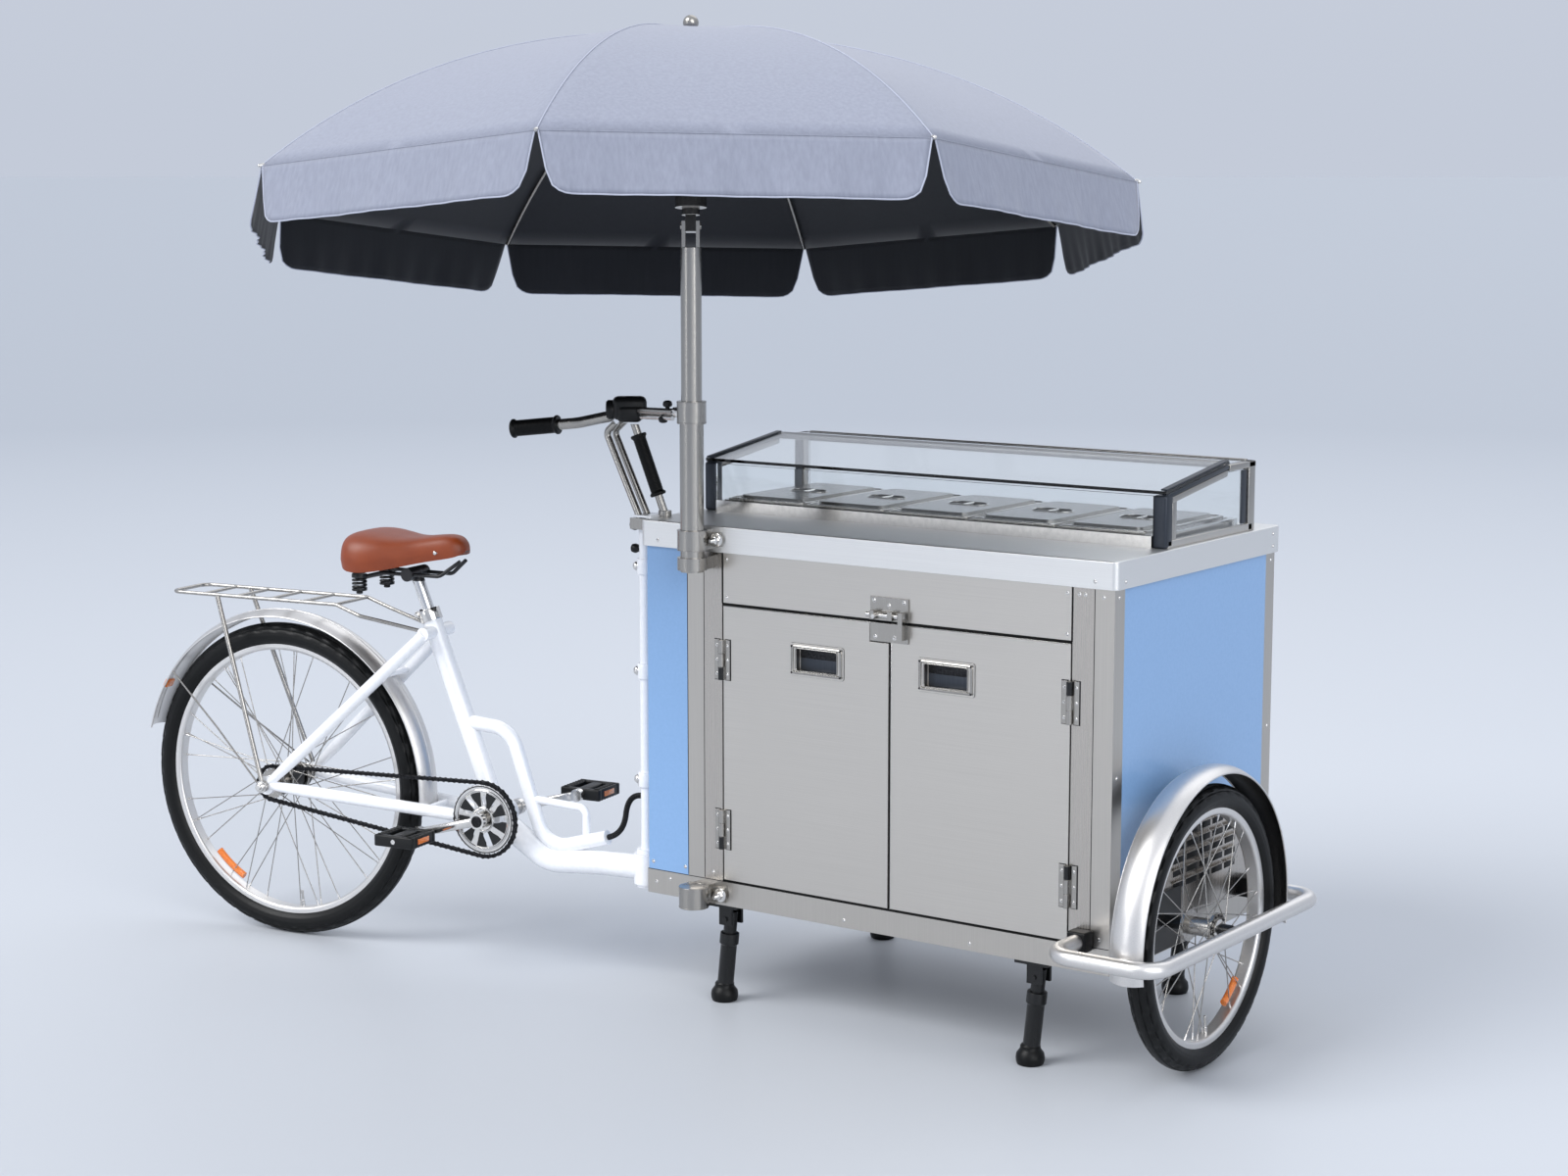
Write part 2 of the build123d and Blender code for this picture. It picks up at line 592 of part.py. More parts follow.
# Glass case: two end frames with their front caps, fixed panes, and a sloping lid on a bar
CASE_Y = deep(CASE_FRONT)
CASE_BACK = CASE_Y + CASE_DEPTH
CASE_KNEE = CASE_BACK - CASE_STRIP
FRONT_Z = COUNTER_TOP + CASE_FRONT_HEIGHT
BACK_Z = COUNTER_TOP + CASE_BACK_HEIGHT
CASE_SLOPE = (BACK_Z - FRONT_Z) / (CASE_KNEE - CASE_Y)
FRAME_LEFT = across(CASE_END)
FRAME_RIGHT = across(COUNTER_LENGTH - CASE_END)
BAR_Y = CASE_KNEE + 8.0
BAR_Z = BACK_Z - FRAME_WIDTH / 2
CAP_BACK = CASE_Y + CAP_WIDTH
INNER_FRONT = FRONT_Z + CAP_WIDTH * CASE_SLOPE - FRAME_WIDTH
FRAME_OUTLINE = [
    (CASE_Y, COUNTER_TOP),
    (CASE_BACK, COUNTER_TOP),
    (CASE_BACK, BACK_Z),
    (CASE_KNEE, BACK_Z),
    (CASE_Y, FRONT_Z),
]


def window_outline(gap):
    """The opening of one end frame, drawn in by a gap on every side."""
    low = COUNTER_TOP + FRAME_WIDTH
    high = BACK_Z - FRAME_WIDTH
    return [
        (CAP_BACK + gap, low + gap),
        (CASE_BACK - FRAME_WIDTH - gap, low + gap),
        (CASE_BACK - FRAME_WIDTH - gap, high - gap),
        (CASE_KNEE, high - gap),
        (CAP_BACK + gap, INNER_FRONT - gap),
    ]


with BuildPart() as case_frames:
    for left in (FRAME_LEFT, FRAME_RIGHT - FRAME_WIDTH):
        with BuildSketch(Plane.YZ.offset(left)):
            Polygon(*FRAME_OUTLINE, align=None)
            Polygon(*window_outline(0), align=None, mode=Mode.SUBTRACT)
        extrude(amount=FRAME_WIDTH)
    for left in (FRAME_LEFT, FRAME_RIGHT - CAP_WIDTH):
        box_between((left, CASE_Y, COUNTER_TOP), (left + CAP_WIDTH, CAP_BACK, FRONT_Z))
    rod_between(
        (FRAME_LEFT + 3, BAR_Y, BAR_Z),
        (FRAME_RIGHT - 3, BAR_Y, BAR_Z),
        LID_BAR + RUNNING_CLEARANCE,
        mode=Mode.SUBTRACT,
    )
write(case_frames.part, "case_frames")
INNER_LEFT = FRAME_LEFT + FRAME_WIDTH + SEAT_GAP
INNER_RIGHT = FRAME_RIGHT - FRAME_WIDTH - SEAT_GAP
STRIP_FRONT = BAR_Y + 20.0
with BuildPart() as case_glass:
    for left in (FRAME_LEFT, FRAME_RIGHT - FRAME_WIDTH):
        with BuildSketch(Plane.YZ.offset(left + (FRAME_WIDTH - GLASS) / 2)):
            Polygon(*window_outline(SEAT_GAP), align=None)
        extrude(amount=GLASS)
    box_between(
        (FRAME_LEFT + CAP_WIDTH + SEAT_GAP, CASE_Y + 3, CURB_TOP + SEAT_GAP),
        (FRAME_RIGHT - CAP_WIDTH - SEAT_GAP, CASE_Y + 3 + GLASS, FRONT_Z - 2),
    )
    pane_back = CASE_BACK - 4.0
    box_between(
        (INNER_LEFT, pane_back - GLASS, COUNTER_TOP + SEAT_GAP),
        (INNER_RIGHT, pane_back, BACK_Z - GLASS - SEAT_GAP),
    )
    box_between((INNER_LEFT, STRIP_FRONT, BACK_Z - GLASS), (INNER_RIGHT, CASE_BACK, BACK_Z))
write(case_glass.part, "case_glass")
LID_LIFT = 1.5
LID_FRONT = CASE_Y + 3.0
LID_REAR = CASE_KNEE - 2.0
with BuildPart() as glass_lid:
    front_z = FRONT_Z + (LID_FRONT - CASE_Y) * CASE_SLOPE + LID_LIFT
    rear_z = FRONT_Z + (LID_REAR - CASE_Y) * CASE_SLOPE + LID_LIFT
    with BuildSketch(Plane.YZ.offset(FRAME_LEFT + 2)):
        Polygon(
            (LID_FRONT, front_z),
            (LID_REAR, rear_z),
            (LID_REAR, rear_z + GLASS),
            (LID_FRONT, front_z + GLASS),
            align=None,
        )
    extrude(amount=FRAME_RIGHT - FRAME_LEFT - 4)
    rod_between((FRAME_LEFT + 4, BAR_Y, BAR_Z), (FRAME_RIGHT - 4, BAR_Y, BAR_Z), LID_BAR)
    with BuildSketch(Plane.YZ.offset(INNER_LEFT + 2)):
        Polygon(
            (LID_REAR - 14, BAR_Z - 2),
            (BAR_Y, BAR_Z - 2),
            (BAR_Y, BAR_Z + 3),
            (LID_REAR - 1, rear_z - SEAT_GAP),
            (LID_REAR - 14, rear_z - SEAT_GAP - 14 * CASE_SLOPE),
            align=None,
        )
    extrude(amount=INNER_RIGHT - INNER_LEFT - 4)
write(glass_lid.part, "glass_lid")

# Folding legs in clevis brackets under the bottom frame
LEG_PLACES = [
    (across(x), y)
    for y in (deep(LEG_INSET), deep(COUNTER_DEPTH - LEG_INSET))
    for x in (LEG_FIRST, LEG_LAST)
]
LUG_GAP = LEG_RADIUS + 0.5
LUG_THICK = 6.0
BRACKET_PLATE = 6.0
with BuildPart() as leg_brackets:
    for x, y in LEG_PLACES:
        with Locations((x, y, CABINET_BOTTOM - BRACKET_PLATE / 2)):
            Box(70, 60, BRACKET_PLATE)
        for side in (-1, 1):
            with Locations((x, y + side * (LUG_GAP + LUG_THICK / 2), (LEG_PIVOT - 12 + CABINET_BOTTOM) / 2)):
                Box(30, LUG_THICK, CABINET_BOTTOM - LEG_PIVOT + 12)
        rod_between((x, y - LUG_GAP - 9, LEG_PIVOT), (x, y + LUG_GAP + 9, LEG_PIVOT), LEG_PIN)
write(leg_brackets.part, "leg_brackets")
for number, (x, y) in enumerate(LEG_PLACES, start=1):
    lean = tan(radians(LEG_LEAN))
    with BuildPart() as leg:
        rod_between(
            (x + 14 * lean, y, LEG_PIVOT + 14),
            (x - (LEG_PIVOT - 12) * lean, y, 12),
            LEG_RADIUS,
        )
        foot_x = x - (LEG_PIVOT - FOOT_HEIGHT / 2) * lean
        with BuildSketch(Plane(origin=(foot_x, y, 0), x_dir=(1, 0, 0), z_dir=(0, -1, 0))):
            with BuildLine():
                Polyline((0, 0), (FOOT_RADIUS - 5, 0))
                ThreePointArc((FOOT_RADIUS - 5, 0), (FOOT_RADIUS, FOOT_HEIGHT / 2), (FOOT_RADIUS - 6, FOOT_HEIGHT))
                Polyline((FOOT_RADIUS - 6, FOOT_HEIGHT), (0, FOOT_HEIGHT), (0, 0))
            make_face()
        revolve(axis=Axis((foot_x, y, 0), (0, 0, 1)))
        rod_between(
            (x, y - 2 * LEG_RADIUS, LEG_PIVOT),
            (x, y + 2 * LEG_RADIUS, LEG_PIVOT),
            LEG_PIN + RUNNING_CLEARANCE,
            mode=Mode.SUBTRACT,
        )
    write(leg.part, f"leg_{number}")

# Umbrella pole: clamps on the cabinet, a sleeve and the upper pole that slides in it
POLE_X = across(POLE_FROM_LEFT)
POLE_Y = deep(-POLE_REACH)
with BuildPart() as pole_clamps:
    for low, high, wall, eared in (
        (CABINET_BOTTOM, CABINET_BOTTOM + 42, FACE, True),
        (LOWER_POLE_BOTTOM + 4, LOWER_POLE_BOTTOM + 28, FACE, False),
        (COUNTER_UNDER + 6, COUNTER_TOP - 6, deep(0), True),
    ):
        rod_between((POLE_X, POLE_Y, low), (POLE_X, POLE_Y, high), LOWER_POLE_RADIUS + CLAMP_WALL)
        box_between((POLE_X - 20, POLE_Y, low), (POLE_X + 20, wall, high))
        if eared:
            box_between(
                (POLE_X - CLAMP_EAR, wall - CLAMP_EAR_THICK, low + CLAMP_WALL),
                (POLE_X + CLAMP_EAR, wall, high - CLAMP_WALL),
            )
        rod_between(
            (POLE_X, POLE_Y, low),
            (POLE_X, POLE_Y, high),
            LOWER_POLE_RADIUS + 2 * RUNNING_CLEARANCE,
            mode=Mode.SUBTRACT,
        )
write(pole_clamps.part, "pole_clamps")
with BuildPart() as pole_sleeve:
    rod_between((POLE_X, POLE_Y, LOWER_POLE_BOTTOM), (POLE_X, POLE_Y, LOWER_POLE_TOP), LOWER_POLE_RADIUS)
    rod_between(
        (POLE_X, POLE_Y, LOWER_POLE_TOP - COLLAR_HEIGHT),
        (POLE_X, POLE_Y, LOWER_POLE_TOP),
        COLLAR_RADIUS,
    )
    rod_between(
        (POLE_X, POLE_Y, LOWER_POLE_BOTTOM + 6),
        (POLE_X, POLE_Y, LOWER_POLE_TOP),
        UPPER_POLE_RADIUS + RUNNING_CLEARANCE,
        mode=Mode.SUBTRACT,
    )
write(pole_sleeve.part, "pole_sleeve")
FORK_GAP = 10.0
FORK_THICK = 7.0
TILT_PIN = 6.0
UPRIGHT = Location((POLE_X, POLE_Y, TILT_HEIGHT), (0, 0, TILT_TOWARD))
HEAD = UPRIGHT * Location((0, 0, 0), (-TILT_ANGLE, 0, 0))
with BuildPart() as upper_pole:
    fork_bottom = -40.0
    rod_between((0, 0, UPPER_POLE_BOTTOM - TILT_HEIGHT), (0, 0, fork_bottom), UPPER_POLE_RADIUS)
    for side in (-1, 1):
        middle = side * (FORK_GAP + FORK_THICK / 2)
        with Locations((middle, 0, fork_bottom / 2 + 5)):
            Box(FORK_THICK, 26, -fork_bottom + 10)
    rod_between((-FORK_GAP - 10, 0, 0), (FORK_GAP + 10, 0, 0), TILT_PIN)
write(upper_pole.part.moved(UPRIGHT), "upper_pole")

# Umbrella head, drawn upright about the tilt pin and then leaned
HALF_GORE = radians(180 / RIB_COUNT)
RIM_Z = RIM_ABOVE_TILT
CROWN_Z = RIM_Z + CANOPY_RISE
APOTHEM = RIM_RADIUS * cos(HALF_GORE)
GORE_RADIUS = (APOTHEM**2 + CANOPY_RISE**2) / (2 * CANOPY_RISE)


def canopy_height(reach):
    """Height of the canopy above the tilt pin, out along a rib."""
    along = reach * cos(HALF_GORE)
    return CROWN_Z - GORE_RADIUS + (GORE_RADIUS**2 - along**2) ** 0.5


def spoke_turn(index):
    """Angle of one rib about the pole, in degrees."""
    return RIB_TURN + index * 360 / RIB_COUNT


RIB_DROP = CANOPY_THICK + RIB_RADIUS + 2.0
HUB_RADIUS = 38.0
HUB_TOP = CROWN_Z - CANOPY_THICK - 1.2
with BuildPart() as umbrella_hub:
    with Locations((0, 0, 6)):
        Box(2 * FORK_GAP - 0.4, 26, 36)
    rod_between((0, 0, 20), (0, 0, HUB_TOP), UPPER_POLE_RADIUS - 3)
    rod_between((0, 0, HUB_TOP - 14), (0, 0, HUB_TOP), HUB_RADIUS)
    rod_between((0, 0, HUB_TOP), (0, 0, CROWN_Z + 14), 7)
    with Locations((0, 0, CROWN_Z + 2.5)):
        Cylinder(20, 4)
    with Locations((0, 0, CROWN_Z + 14 + FINIAL_RADIUS * 0.8)):
        Sphere(FINIAL_RADIUS)
    rod_between((-2 * FORK_GAP, 0, 0), (2 * FORK_GAP, 0, 0), TILT_PIN + RUNNING_CLEARANCE, mode=Mode.SUBTRACT)
write(umbrella_hub.part.moved(HEAD), "umbrella_hub")

with BuildPart() as umbrella_ribs:
    for index in range(RIB_COUNT):
        turn = radians(spoke_turn(index))
        reaches = (HUB_RADIUS + 0.4, (HUB_RADIUS + RIM_RADIUS) / 2, RIM_RADIUS - 9)
        points = [(r * cos(turn), r * sin(turn), canopy_height(r) - RIB_DROP) for r in reaches]
        with BuildLine() as rib_route:
            ThreePointArc(*points)
        with BuildSketch(Plane(origin=rib_route.line @ 0, z_dir=rib_route.line % 0)):
            Circle(RIB_RADIUS)
        sweep(path=rib_route.line)
write(umbrella_ribs.part.moved(HEAD), "umbrella_ribs")

RUNNER_LOW = 34.0
RUNNER_HIGH = 66.0
RUNNER_RADIUS = 30.0
with BuildPart() as umbrella_struts:
    rod_between((0, 0, RUNNER_LOW), (0, 0, RUNNER_HIGH), RUNNER_RADIUS)
    for index in range(RIB_COUNT):
        turn = radians(spoke_turn(index))
        inner = RUNNER_RADIUS - 4
        start = (inner * cos(turn), inner * sin(turn), RUNNER_HIGH - 8)
        high = canopy_height(STRUT_REACH) - RIB_DROP - RIB_RADIUS - 3.4
        rod_between(start, (STRUT_REACH * cos(turn), STRUT_REACH * sin(turn), high), 3)
    rod_between((0, 0, 0), (0, 0, CROWN_Z), UPPER_POLE_RADIUS - 3 + 2 * RUNNING_CLEARANCE, mode=Mode.SUBTRACT)
write(umbrella_struts.part.moved(HEAD), "umbrella_struts")

# Canopy: eight gores, each with its hanging valance, sewn into one shell
VALANCE_LENGTH = 2 * RIM_RADIUS * sin(HALF_GORE) - 2 * VALANCE_GAP
with BuildPart() as gore:
    with BuildSketch(Plane.XZ):
        with BuildLine():
            mid = APOTHEM / 2
            mid_z = canopy_height(mid / cos(HALF_GORE))
            ThreePointArc((0, CROWN_Z), (mid, mid_z), (APOTHEM, RIM_Z))
            Line((APOTHEM, RIM_Z), (APOTHEM, RIM_Z - CANOPY_THICK))
            ThreePointArc(
                (APOTHEM, RIM_Z - CANOPY_THICK),
                (mid, mid_z - CANOPY_THICK),
                (0, CROWN_Z - CANOPY_THICK),
            )
            Line((0, CROWN_Z - CANOPY_THICK), (0, CROWN_Z))
        make_face()
    extrude(amount=RIM_RADIUS, both=True)
    with BuildSketch(Plane.XY):
        edge = 1.3 * RIM_RADIUS
        Polygon(
            (0, 0),
            (edge * cos(HALF_GORE), -edge * sin(HALF_GORE)),
            (edge * cos(HALF_GORE), edge * sin(HALF_GORE)),
            align=None,
        )
    extrude(amount=2 * CROWN_Z, mode=Mode.INTERSECT)
    flare = radians(VALANCE_FLARE)
    hem_plane = Plane(
        origin=(APOTHEM - CANOPY_THICK, 0, RIM_Z), x_dir=(0, 1, 0), z_dir=(cos(flare), 0, sin(flare))
    )
    with BuildSketch(hem_plane):
        with Locations((0, -VALANCE_HEIGHT / 2)):
            flap = Rectangle(VALANCE_LENGTH, VALANCE_HEIGHT)
        fillet(flap.vertices().sort_by(Axis.Z)[:2], 38)
    extrude(amount=CANOPY_THICK)
with BuildPart() as canopy:
    for index in range(RIB_COUNT):
        add(gore.part.rotate(Axis.Z, spoke_turn(index + 0.5)))
    rod_between((0, 0, CROWN_Z - 40), (0, 0, CROWN_Z + 40), 9, mode=Mode.SUBTRACT)
write(canopy.part.moved(HEAD), "canopy")


# Wheels, drawn with the axle along Y and the hub's middle at the origin
def rim_bed(radius, tyre):
    """Radius where the tyre sits on its rim."""
    return radius - 0.85 * tyre


def make_tyre(radius, tyre):
    """A round tyre with a flat bed on the rim."""
    bed = rim_bed(radius, tyre)
    with BuildSketch(Plane.XY) as section:
        with Locations((radius - tyre / 2, 0)):
            Circle(tyre / 2)
        with Locations((bed - tyre / 2, 0)):
            Rectangle(tyre, tyre, mode=Mode.SUBTRACT)
    revolve(section.sketch, axis=Axis.Y)


RIM_DEPTH = 15.0
RIM_HALF = 15.0


def make_rim(radius, tyre):
    """A rim with rounded inner corners."""
    bed = rim_bed(radius, tyre) - SEAT_GAP
    with BuildSketch(Plane.XY) as section:
        with Locations((bed - RIM_DEPTH / 2, 0)):
            wall = Rectangle(RIM_DEPTH, 2 * RIM_HALF)
        fillet(wall.vertices().sort_by(Axis.X)[:2], 6)
    revolve(section.sketch, axis=Axis.Y)


FLANGE_SIDE = 28.0
FLANGE_RADIUS = 30.0
SPOKE_RADIUS = 1.1


def make_spokes(radius, tyre, count):
    """Crossed spokes: four on each pair of hub holes, leading and trailing on both flanges."""
    rim_inner = rim_bed(radius, tyre) - SEAT_GAP - RIM_DEPTH
    pairs = count // 4
    for group in range(pairs):
        for side in (-1, 1):
            for lead in (-1, 1):
                turn = radians(group * 360 / pairs + (90 / pairs if side > 0 else 0) + lead * 90 / pairs / 2)
                hub_turn = turn - lead * radians(62)
                hub_side = side * (FLANGE_SIDE + lead * 1.8)
                rim_side = side * (5.0 + lead * 1.3)
                start = (
                    (FLANGE_RADIUS + SEAT_GAP) * cos(hub_turn),
                    hub_side,
                    (FLANGE_RADIUS + SEAT_GAP) * sin(hub_turn),
                )
                end = ((rim_inner - SEAT_GAP) * cos(turn), rim_side, (rim_inner - SEAT_GAP) * sin(turn))
                rod_between(start, end, SPOKE_RADIUS)


def make_hub(half, bore):
    """A hub barrel with two flanges, bored for its axle."""
    rod_between((0, -half, 0), (0, half, 0), 17)
    for side in (-1, 1):
        rod_between((0, side * (FLANGE_SIDE - 3), 0), (0, side * (FLANGE_SIDE + 3), 0), FLANGE_RADIUS)
    rod_between((0, -half, 0), (0, half, 0), bore, mode=Mode.SUBTRACT)


def make_fender(radius, half, first, last):
    """A curved fender sheet over part of a wheel, between two angles."""
    turn = radians(first)
    out = (cos(turn), 0, sin(turn))
    with BuildSketch(Plane(origin=(0, 0, 0), x_dir=out, z_dir=(-sin(turn), 0, cos(turn)))) as section:
        with BuildLine():
            ThreePointArc((radius - 12, -half), (radius, 0), (radius - 12, half))
            Line((radius - 12, half), (radius - 12 + FENDER_SHEET, half))
            ThreePointArc(
                (radius - 12 + FENDER_SHEET, half),
                (radius + FENDER_SHEET, 0),
                (radius - 12 + FENDER_SHEET, -half),
            )
            Line((radius - 12 + FENDER_SHEET, -half), (radius - 12, -half))
        make_face()
    revolve(section.sketch, axis=Axis.Y, revolution_arc=first - last)


# Front wheel across the cabinet's right end, on an axle between the cabinet and the bumper
FRONT_X = across(COUNTER_LENGTH + FRONT_STANDOFF)
FRONT_Y = deep(FRONT_FROM_FACE)
FRONT = Location((FRONT_X, FRONT_Y, FRONT_RADIUS), (0, 0, 90))
FRONT_FENDER = FRONT_RADIUS + FRONT_FENDER_GAP
BUMPER_X = across(COUNTER_LENGTH + BUMPER_REACH)
BUMPER_NEAR = FRONT_Y - FRONT_FENDER - FENDER_SHEET - BUMPER_LUG - BUMPER_RADIUS
BUMPER_FAR = FRONT_Y + FRONT_FENDER + FENDER_SHEET + BUMPER_LUG + BUMPER_RADIUS
with BuildPart() as front_tyre:
    make_tyre(FRONT_RADIUS, FRONT_TYRE)
write(front_tyre.part.moved(FRONT), "front_tyre")
with BuildPart() as front_rim:
    make_rim(FRONT_RADIUS, FRONT_TYRE)
write(front_rim.part.moved(FRONT), "front_rim")
with BuildPart() as front_spokes:
    make_hub(HUB_HALF, AXLE_RADIUS + RUNNING_CLEARANCE)
    make_spokes(FRONT_RADIUS, FRONT_TYRE, FRONT_SPOKES)
write(front_spokes.part.moved(FRONT), "front_spokes")
with BuildPart() as front_axle:
    with Locations((BODY_RIGHT + 4, FRONT_Y, FRONT_RADIUS)):
        Box(8, 120, 110)
    axle_end = BUMPER_X - BUMPER_RADIUS - SEAT_GAP
    rod_between((BODY_RIGHT, FRONT_Y, FRONT_RADIUS), (axle_end, FRONT_Y, FRONT_RADIUS), AXLE_RADIUS)
    hub_low = FRONT_X - HUB_HALF - SEAT_GAP
    hub_high = FRONT_X + HUB_HALF + SEAT_GAP
    rod_between((BODY_RIGHT, FRONT_Y, FRONT_RADIUS), (hub_low, FRONT_Y, FRONT_RADIUS), 12)
    rod_between((hub_high, FRONT_Y, FRONT_RADIUS), (axle_end, FRONT_Y, FRONT_RADIUS), 12)
write(front_axle.part, "front_axle")
with BuildPart() as front_fender:
    make_fender(FRONT_FENDER, FENDER_HALF, 188, -10)
    for side in (-1, 1):
        near, far = sorted((side * (FRONT_FENDER + 1), side * (FRONT_FENDER + FENDER_SHEET + BUMPER_LUG)))
        box_between((near, -9, -7), (far, 9, 7))
write(front_fender.part.moved(FRONT), "front_fender")
BLOCK_HALF = 17.0
BLOCK_LENGTH = 30.0
NEAR_BLOCK_X = across(COUNTER_LENGTH - BUMPER_INSET)
with BuildPart() as bumper:
    tube_along(
        [
            (NEAR_BLOCK_X, FACE - BLOCK_LENGTH / 2, FRONT_RADIUS),
            (NEAR_BLOCK_X, BUMPER_NEAR, FRONT_RADIUS),
            (BUMPER_X, BUMPER_NEAR, FRONT_RADIUS),
            (BUMPER_X, BUMPER_FAR, FRONT_RADIUS),
            (BODY_RIGHT + BLOCK_LENGTH / 2, BUMPER_FAR, FRONT_RADIUS),
        ],
        BUMPER_BEND,
        BUMPER_RADIUS,
    )
    box_between(
        (NEAR_BLOCK_X - BLOCK_HALF, FACE - BLOCK_LENGTH, FRONT_RADIUS - BLOCK_HALF),
        (NEAR_BLOCK_X + BLOCK_HALF, FACE, FRONT_RADIUS + BLOCK_HALF),
    )
    box_between(
        (BODY_RIGHT, BUMPER_FAR - BLOCK_HALF, FRONT_RADIUS - BLOCK_HALF),
        (BODY_RIGHT + BLOCK_LENGTH, BUMPER_FAR + BLOCK_HALF, FRONT_RADIUS + BLOCK_HALF),
    )
write(bumper.part, "bumper")

# Steering column, handlebar and grips, fixed to the cabinet
COLUMN_X = across(-COLUMN_BEHIND)
COLUMN_Y = deep(COLUMN_FROM_FRONT)
SLEEVE_LOW = 207.0
SLEEVE_HIGH = 268.0
with BuildPart() as column:
    rod_between((COLUMN_X, COLUMN_Y, COLUMN_BOTTOM), (COLUMN_X, COLUMN_Y, COLUMN_TOP), COLUMN_RADIUS)
    rod_between((COLUMN_X, COLUMN_Y, SLEEVE_LOW - 7), (COLUMN_X, COLUMN_Y, SLEEVE_LOW - SEAT_GAP), 22)
    rod_between((COLUMN_X, COLUMN_Y, SLEEVE_HIGH + SEAT_GAP), (COLUMN_X, COLUMN_Y, SLEEVE_HIGH + 10), 22)
    for height in (420.0, 640.0, 850.0):
        box_between((COLUMN_X, COLUMN_Y - 9, height - 14), (BODY_LEFT, COLUMN_Y + 9, height + 14))
        rod_between((COLUMN_X, COLUMN_Y, height - 14), (COLUMN_X, COLUMN_Y, height + 14), COLUMN_RADIUS + 4)
write(column.part, "column")
BAR_RADIUS = 11.0
STEM_RADIUS = 7.0
STEM_HALF = 13.0
BOX_MIDDLE = (across(-58), deep(43), 1158.0)
BAR_ROUTE = [
    (across(-58), deep(43), 1154.0),
    (across(-137), deep(-20), 1133.0),
    (across(-268), deep(-60), 1118.0),
]
GRAB_RADIUS = 8.0
GRAB_FOOT = (across(14), deep(62), COUNTER_TOP + SEAT_GAP)
GRAB_ROUTE = [(across(-52), deep(46), 1140.0), (*GRAB_FOOT[:2], COUNTER_TOP + GRAB_RADIUS / 2)]
CONTROL_BOX = (70.0, 50.0, 56.0)
GRIP_WALL = 5.0
GRIP_FLANGE = 3.0
FLANGE_LENGTH = 6.0
with BuildPart() as handlebar:
    box_between(
        (COLUMN_X - 20, COLUMN_Y - 24, COLUMN_TOP),
        (COLUMN_X + 20, COLUMN_Y + 24, COLUMN_TOP + 22),
    )
    for side in (-STEM_HALF, STEM_HALF):
        tube_along(
            [
                (COLUMN_X, COLUMN_Y + side, COLUMN_TOP + 15),
                (across(-112), COLUMN_Y + side, 1112.0),
                (across(-60), deep(45) + side, 1152.0),
            ],
            14,
            STEM_RADIUS,
        )
    tube_along(BAR_ROUTE, 60, BAR_RADIUS)
    rod_between(*GRAB_ROUTE, GRAB_RADIUS)
    rod_between(GRAB_FOOT, (*GRAB_FOOT[:2], COUNTER_TOP + 12), GRAB_RADIUS + 5)
    tie_start = Vector(across(-58), deep(43), 1158.0)
    tie_way = Vector(POLE_X, POLE_Y, 1168.0) - tie_start
    reach = 1 - (COLLAR_RADIUS + SEAT_GAP + 0.4) / hypot(tie_way.X, tie_way.Y)
    rod_between(tuple(tie_start), tuple(tie_start + tie_way * reach), 7)
    with Locations(BOX_MIDDLE):
        Box(*CONTROL_BOX, mode=Mode.SUBTRACT)
write(handlebar.part, "handlebar")


def along(points, leg, share):
    """A point part of the way along one leg of a route."""
    start, end = points[leg], points[leg + 1]
    return tuple(a + (b - a) * share for a, b in zip(start, end))


with BuildPart() as grips:
    with Locations(BOX_MIDDLE):
        Box(*[size - 2 * SEAT_GAP for size in CONTROL_BOX])
    fillet(grips.edges().filter_by(Axis.Y), 14)
    for route, leg, first, last, core in (
        (BAR_ROUTE, 1, 0.3, 1.03, BAR_RADIUS),
        (GRAB_ROUTE, 0, 0.16, 0.8, GRAB_RADIUS),
    ):
        start, end = Vector(*along(route, leg, first)), Vector(*along(route, leg, last))
        way = (end - start).normalized()
        rod_between(tuple(start), tuple(end), core + GRIP_WALL)
        for low, high in ((start, start + way * FLANGE_LENGTH), (end - way * FLANGE_LENGTH, end)):
            rod_between(tuple(low), tuple(high), core + GRIP_WALL + GRIP_FLANGE)
        rod_between(along(route, leg, first), along(route, leg, 1.0), core + 0.2, mode=Mode.SUBTRACT)
write(grips.part, "grips")

# Cycle end, drawn straight back along X from the column's foot and then steered
CYCLE = Location((COLUMN_X, COLUMN_Y, 0), (0, 0, STEER_ANGLE))
AXLE = (-WHEEL_BASE, 0, REAR_RADIUS)
REAR = CYCLE * Location(AXLE)
BRACKET = (-BRACKET_BACK, 0, BRACKET_HEIGHT)
SEAT_TOP = Vector(-SEAT_TUBE_BACK, 0, SEAT_TUBE_TOP)
SEAT_WAY = (SEAT_TOP - Vector(*BRACKET)).normalized()
REAR_FENDER = REAR_RADIUS + FENDER_GAP
RACK_HEIGHT = REAR_RADIUS + REAR_FENDER + FENDER_SHEET + RACK_ABOVE_FENDER
HUB_REAR = 64.0
DROPOUT_IN = STAY_SIDE - 4
DROPOUT_OUT = STAY_SIDE + 4
RACK_EYE = STAY_SIDE + 15
STAY_BRIDGE = STAY_RADIUS + 1
STAY_TOP = tuple(Vector(*BRACKET) + SEAT_WAY * 398)
STAY_LOW = (-BRACKET_BACK - 8, 0, BRACKET_HEIGHT - 6)
SLEEVE_RADIUS = BEAM_RADIUS + 3


def stay_point(end, distance):
    """A point out from the rear axle along the line to another point, at the middle."""
    way = Vector(end[0] - AXLE[0], 0, end[2] - AXLE[2]).normalized()
    return Vector(*AXLE) + way * distance


def along_y(point, low, high, radius, mode=Mode.ADD):
    """A round bar across the cycle through a point."""
    rod_between((point[0], low, point[2]), (point[0], high, point[2]), radius, mode=mode)


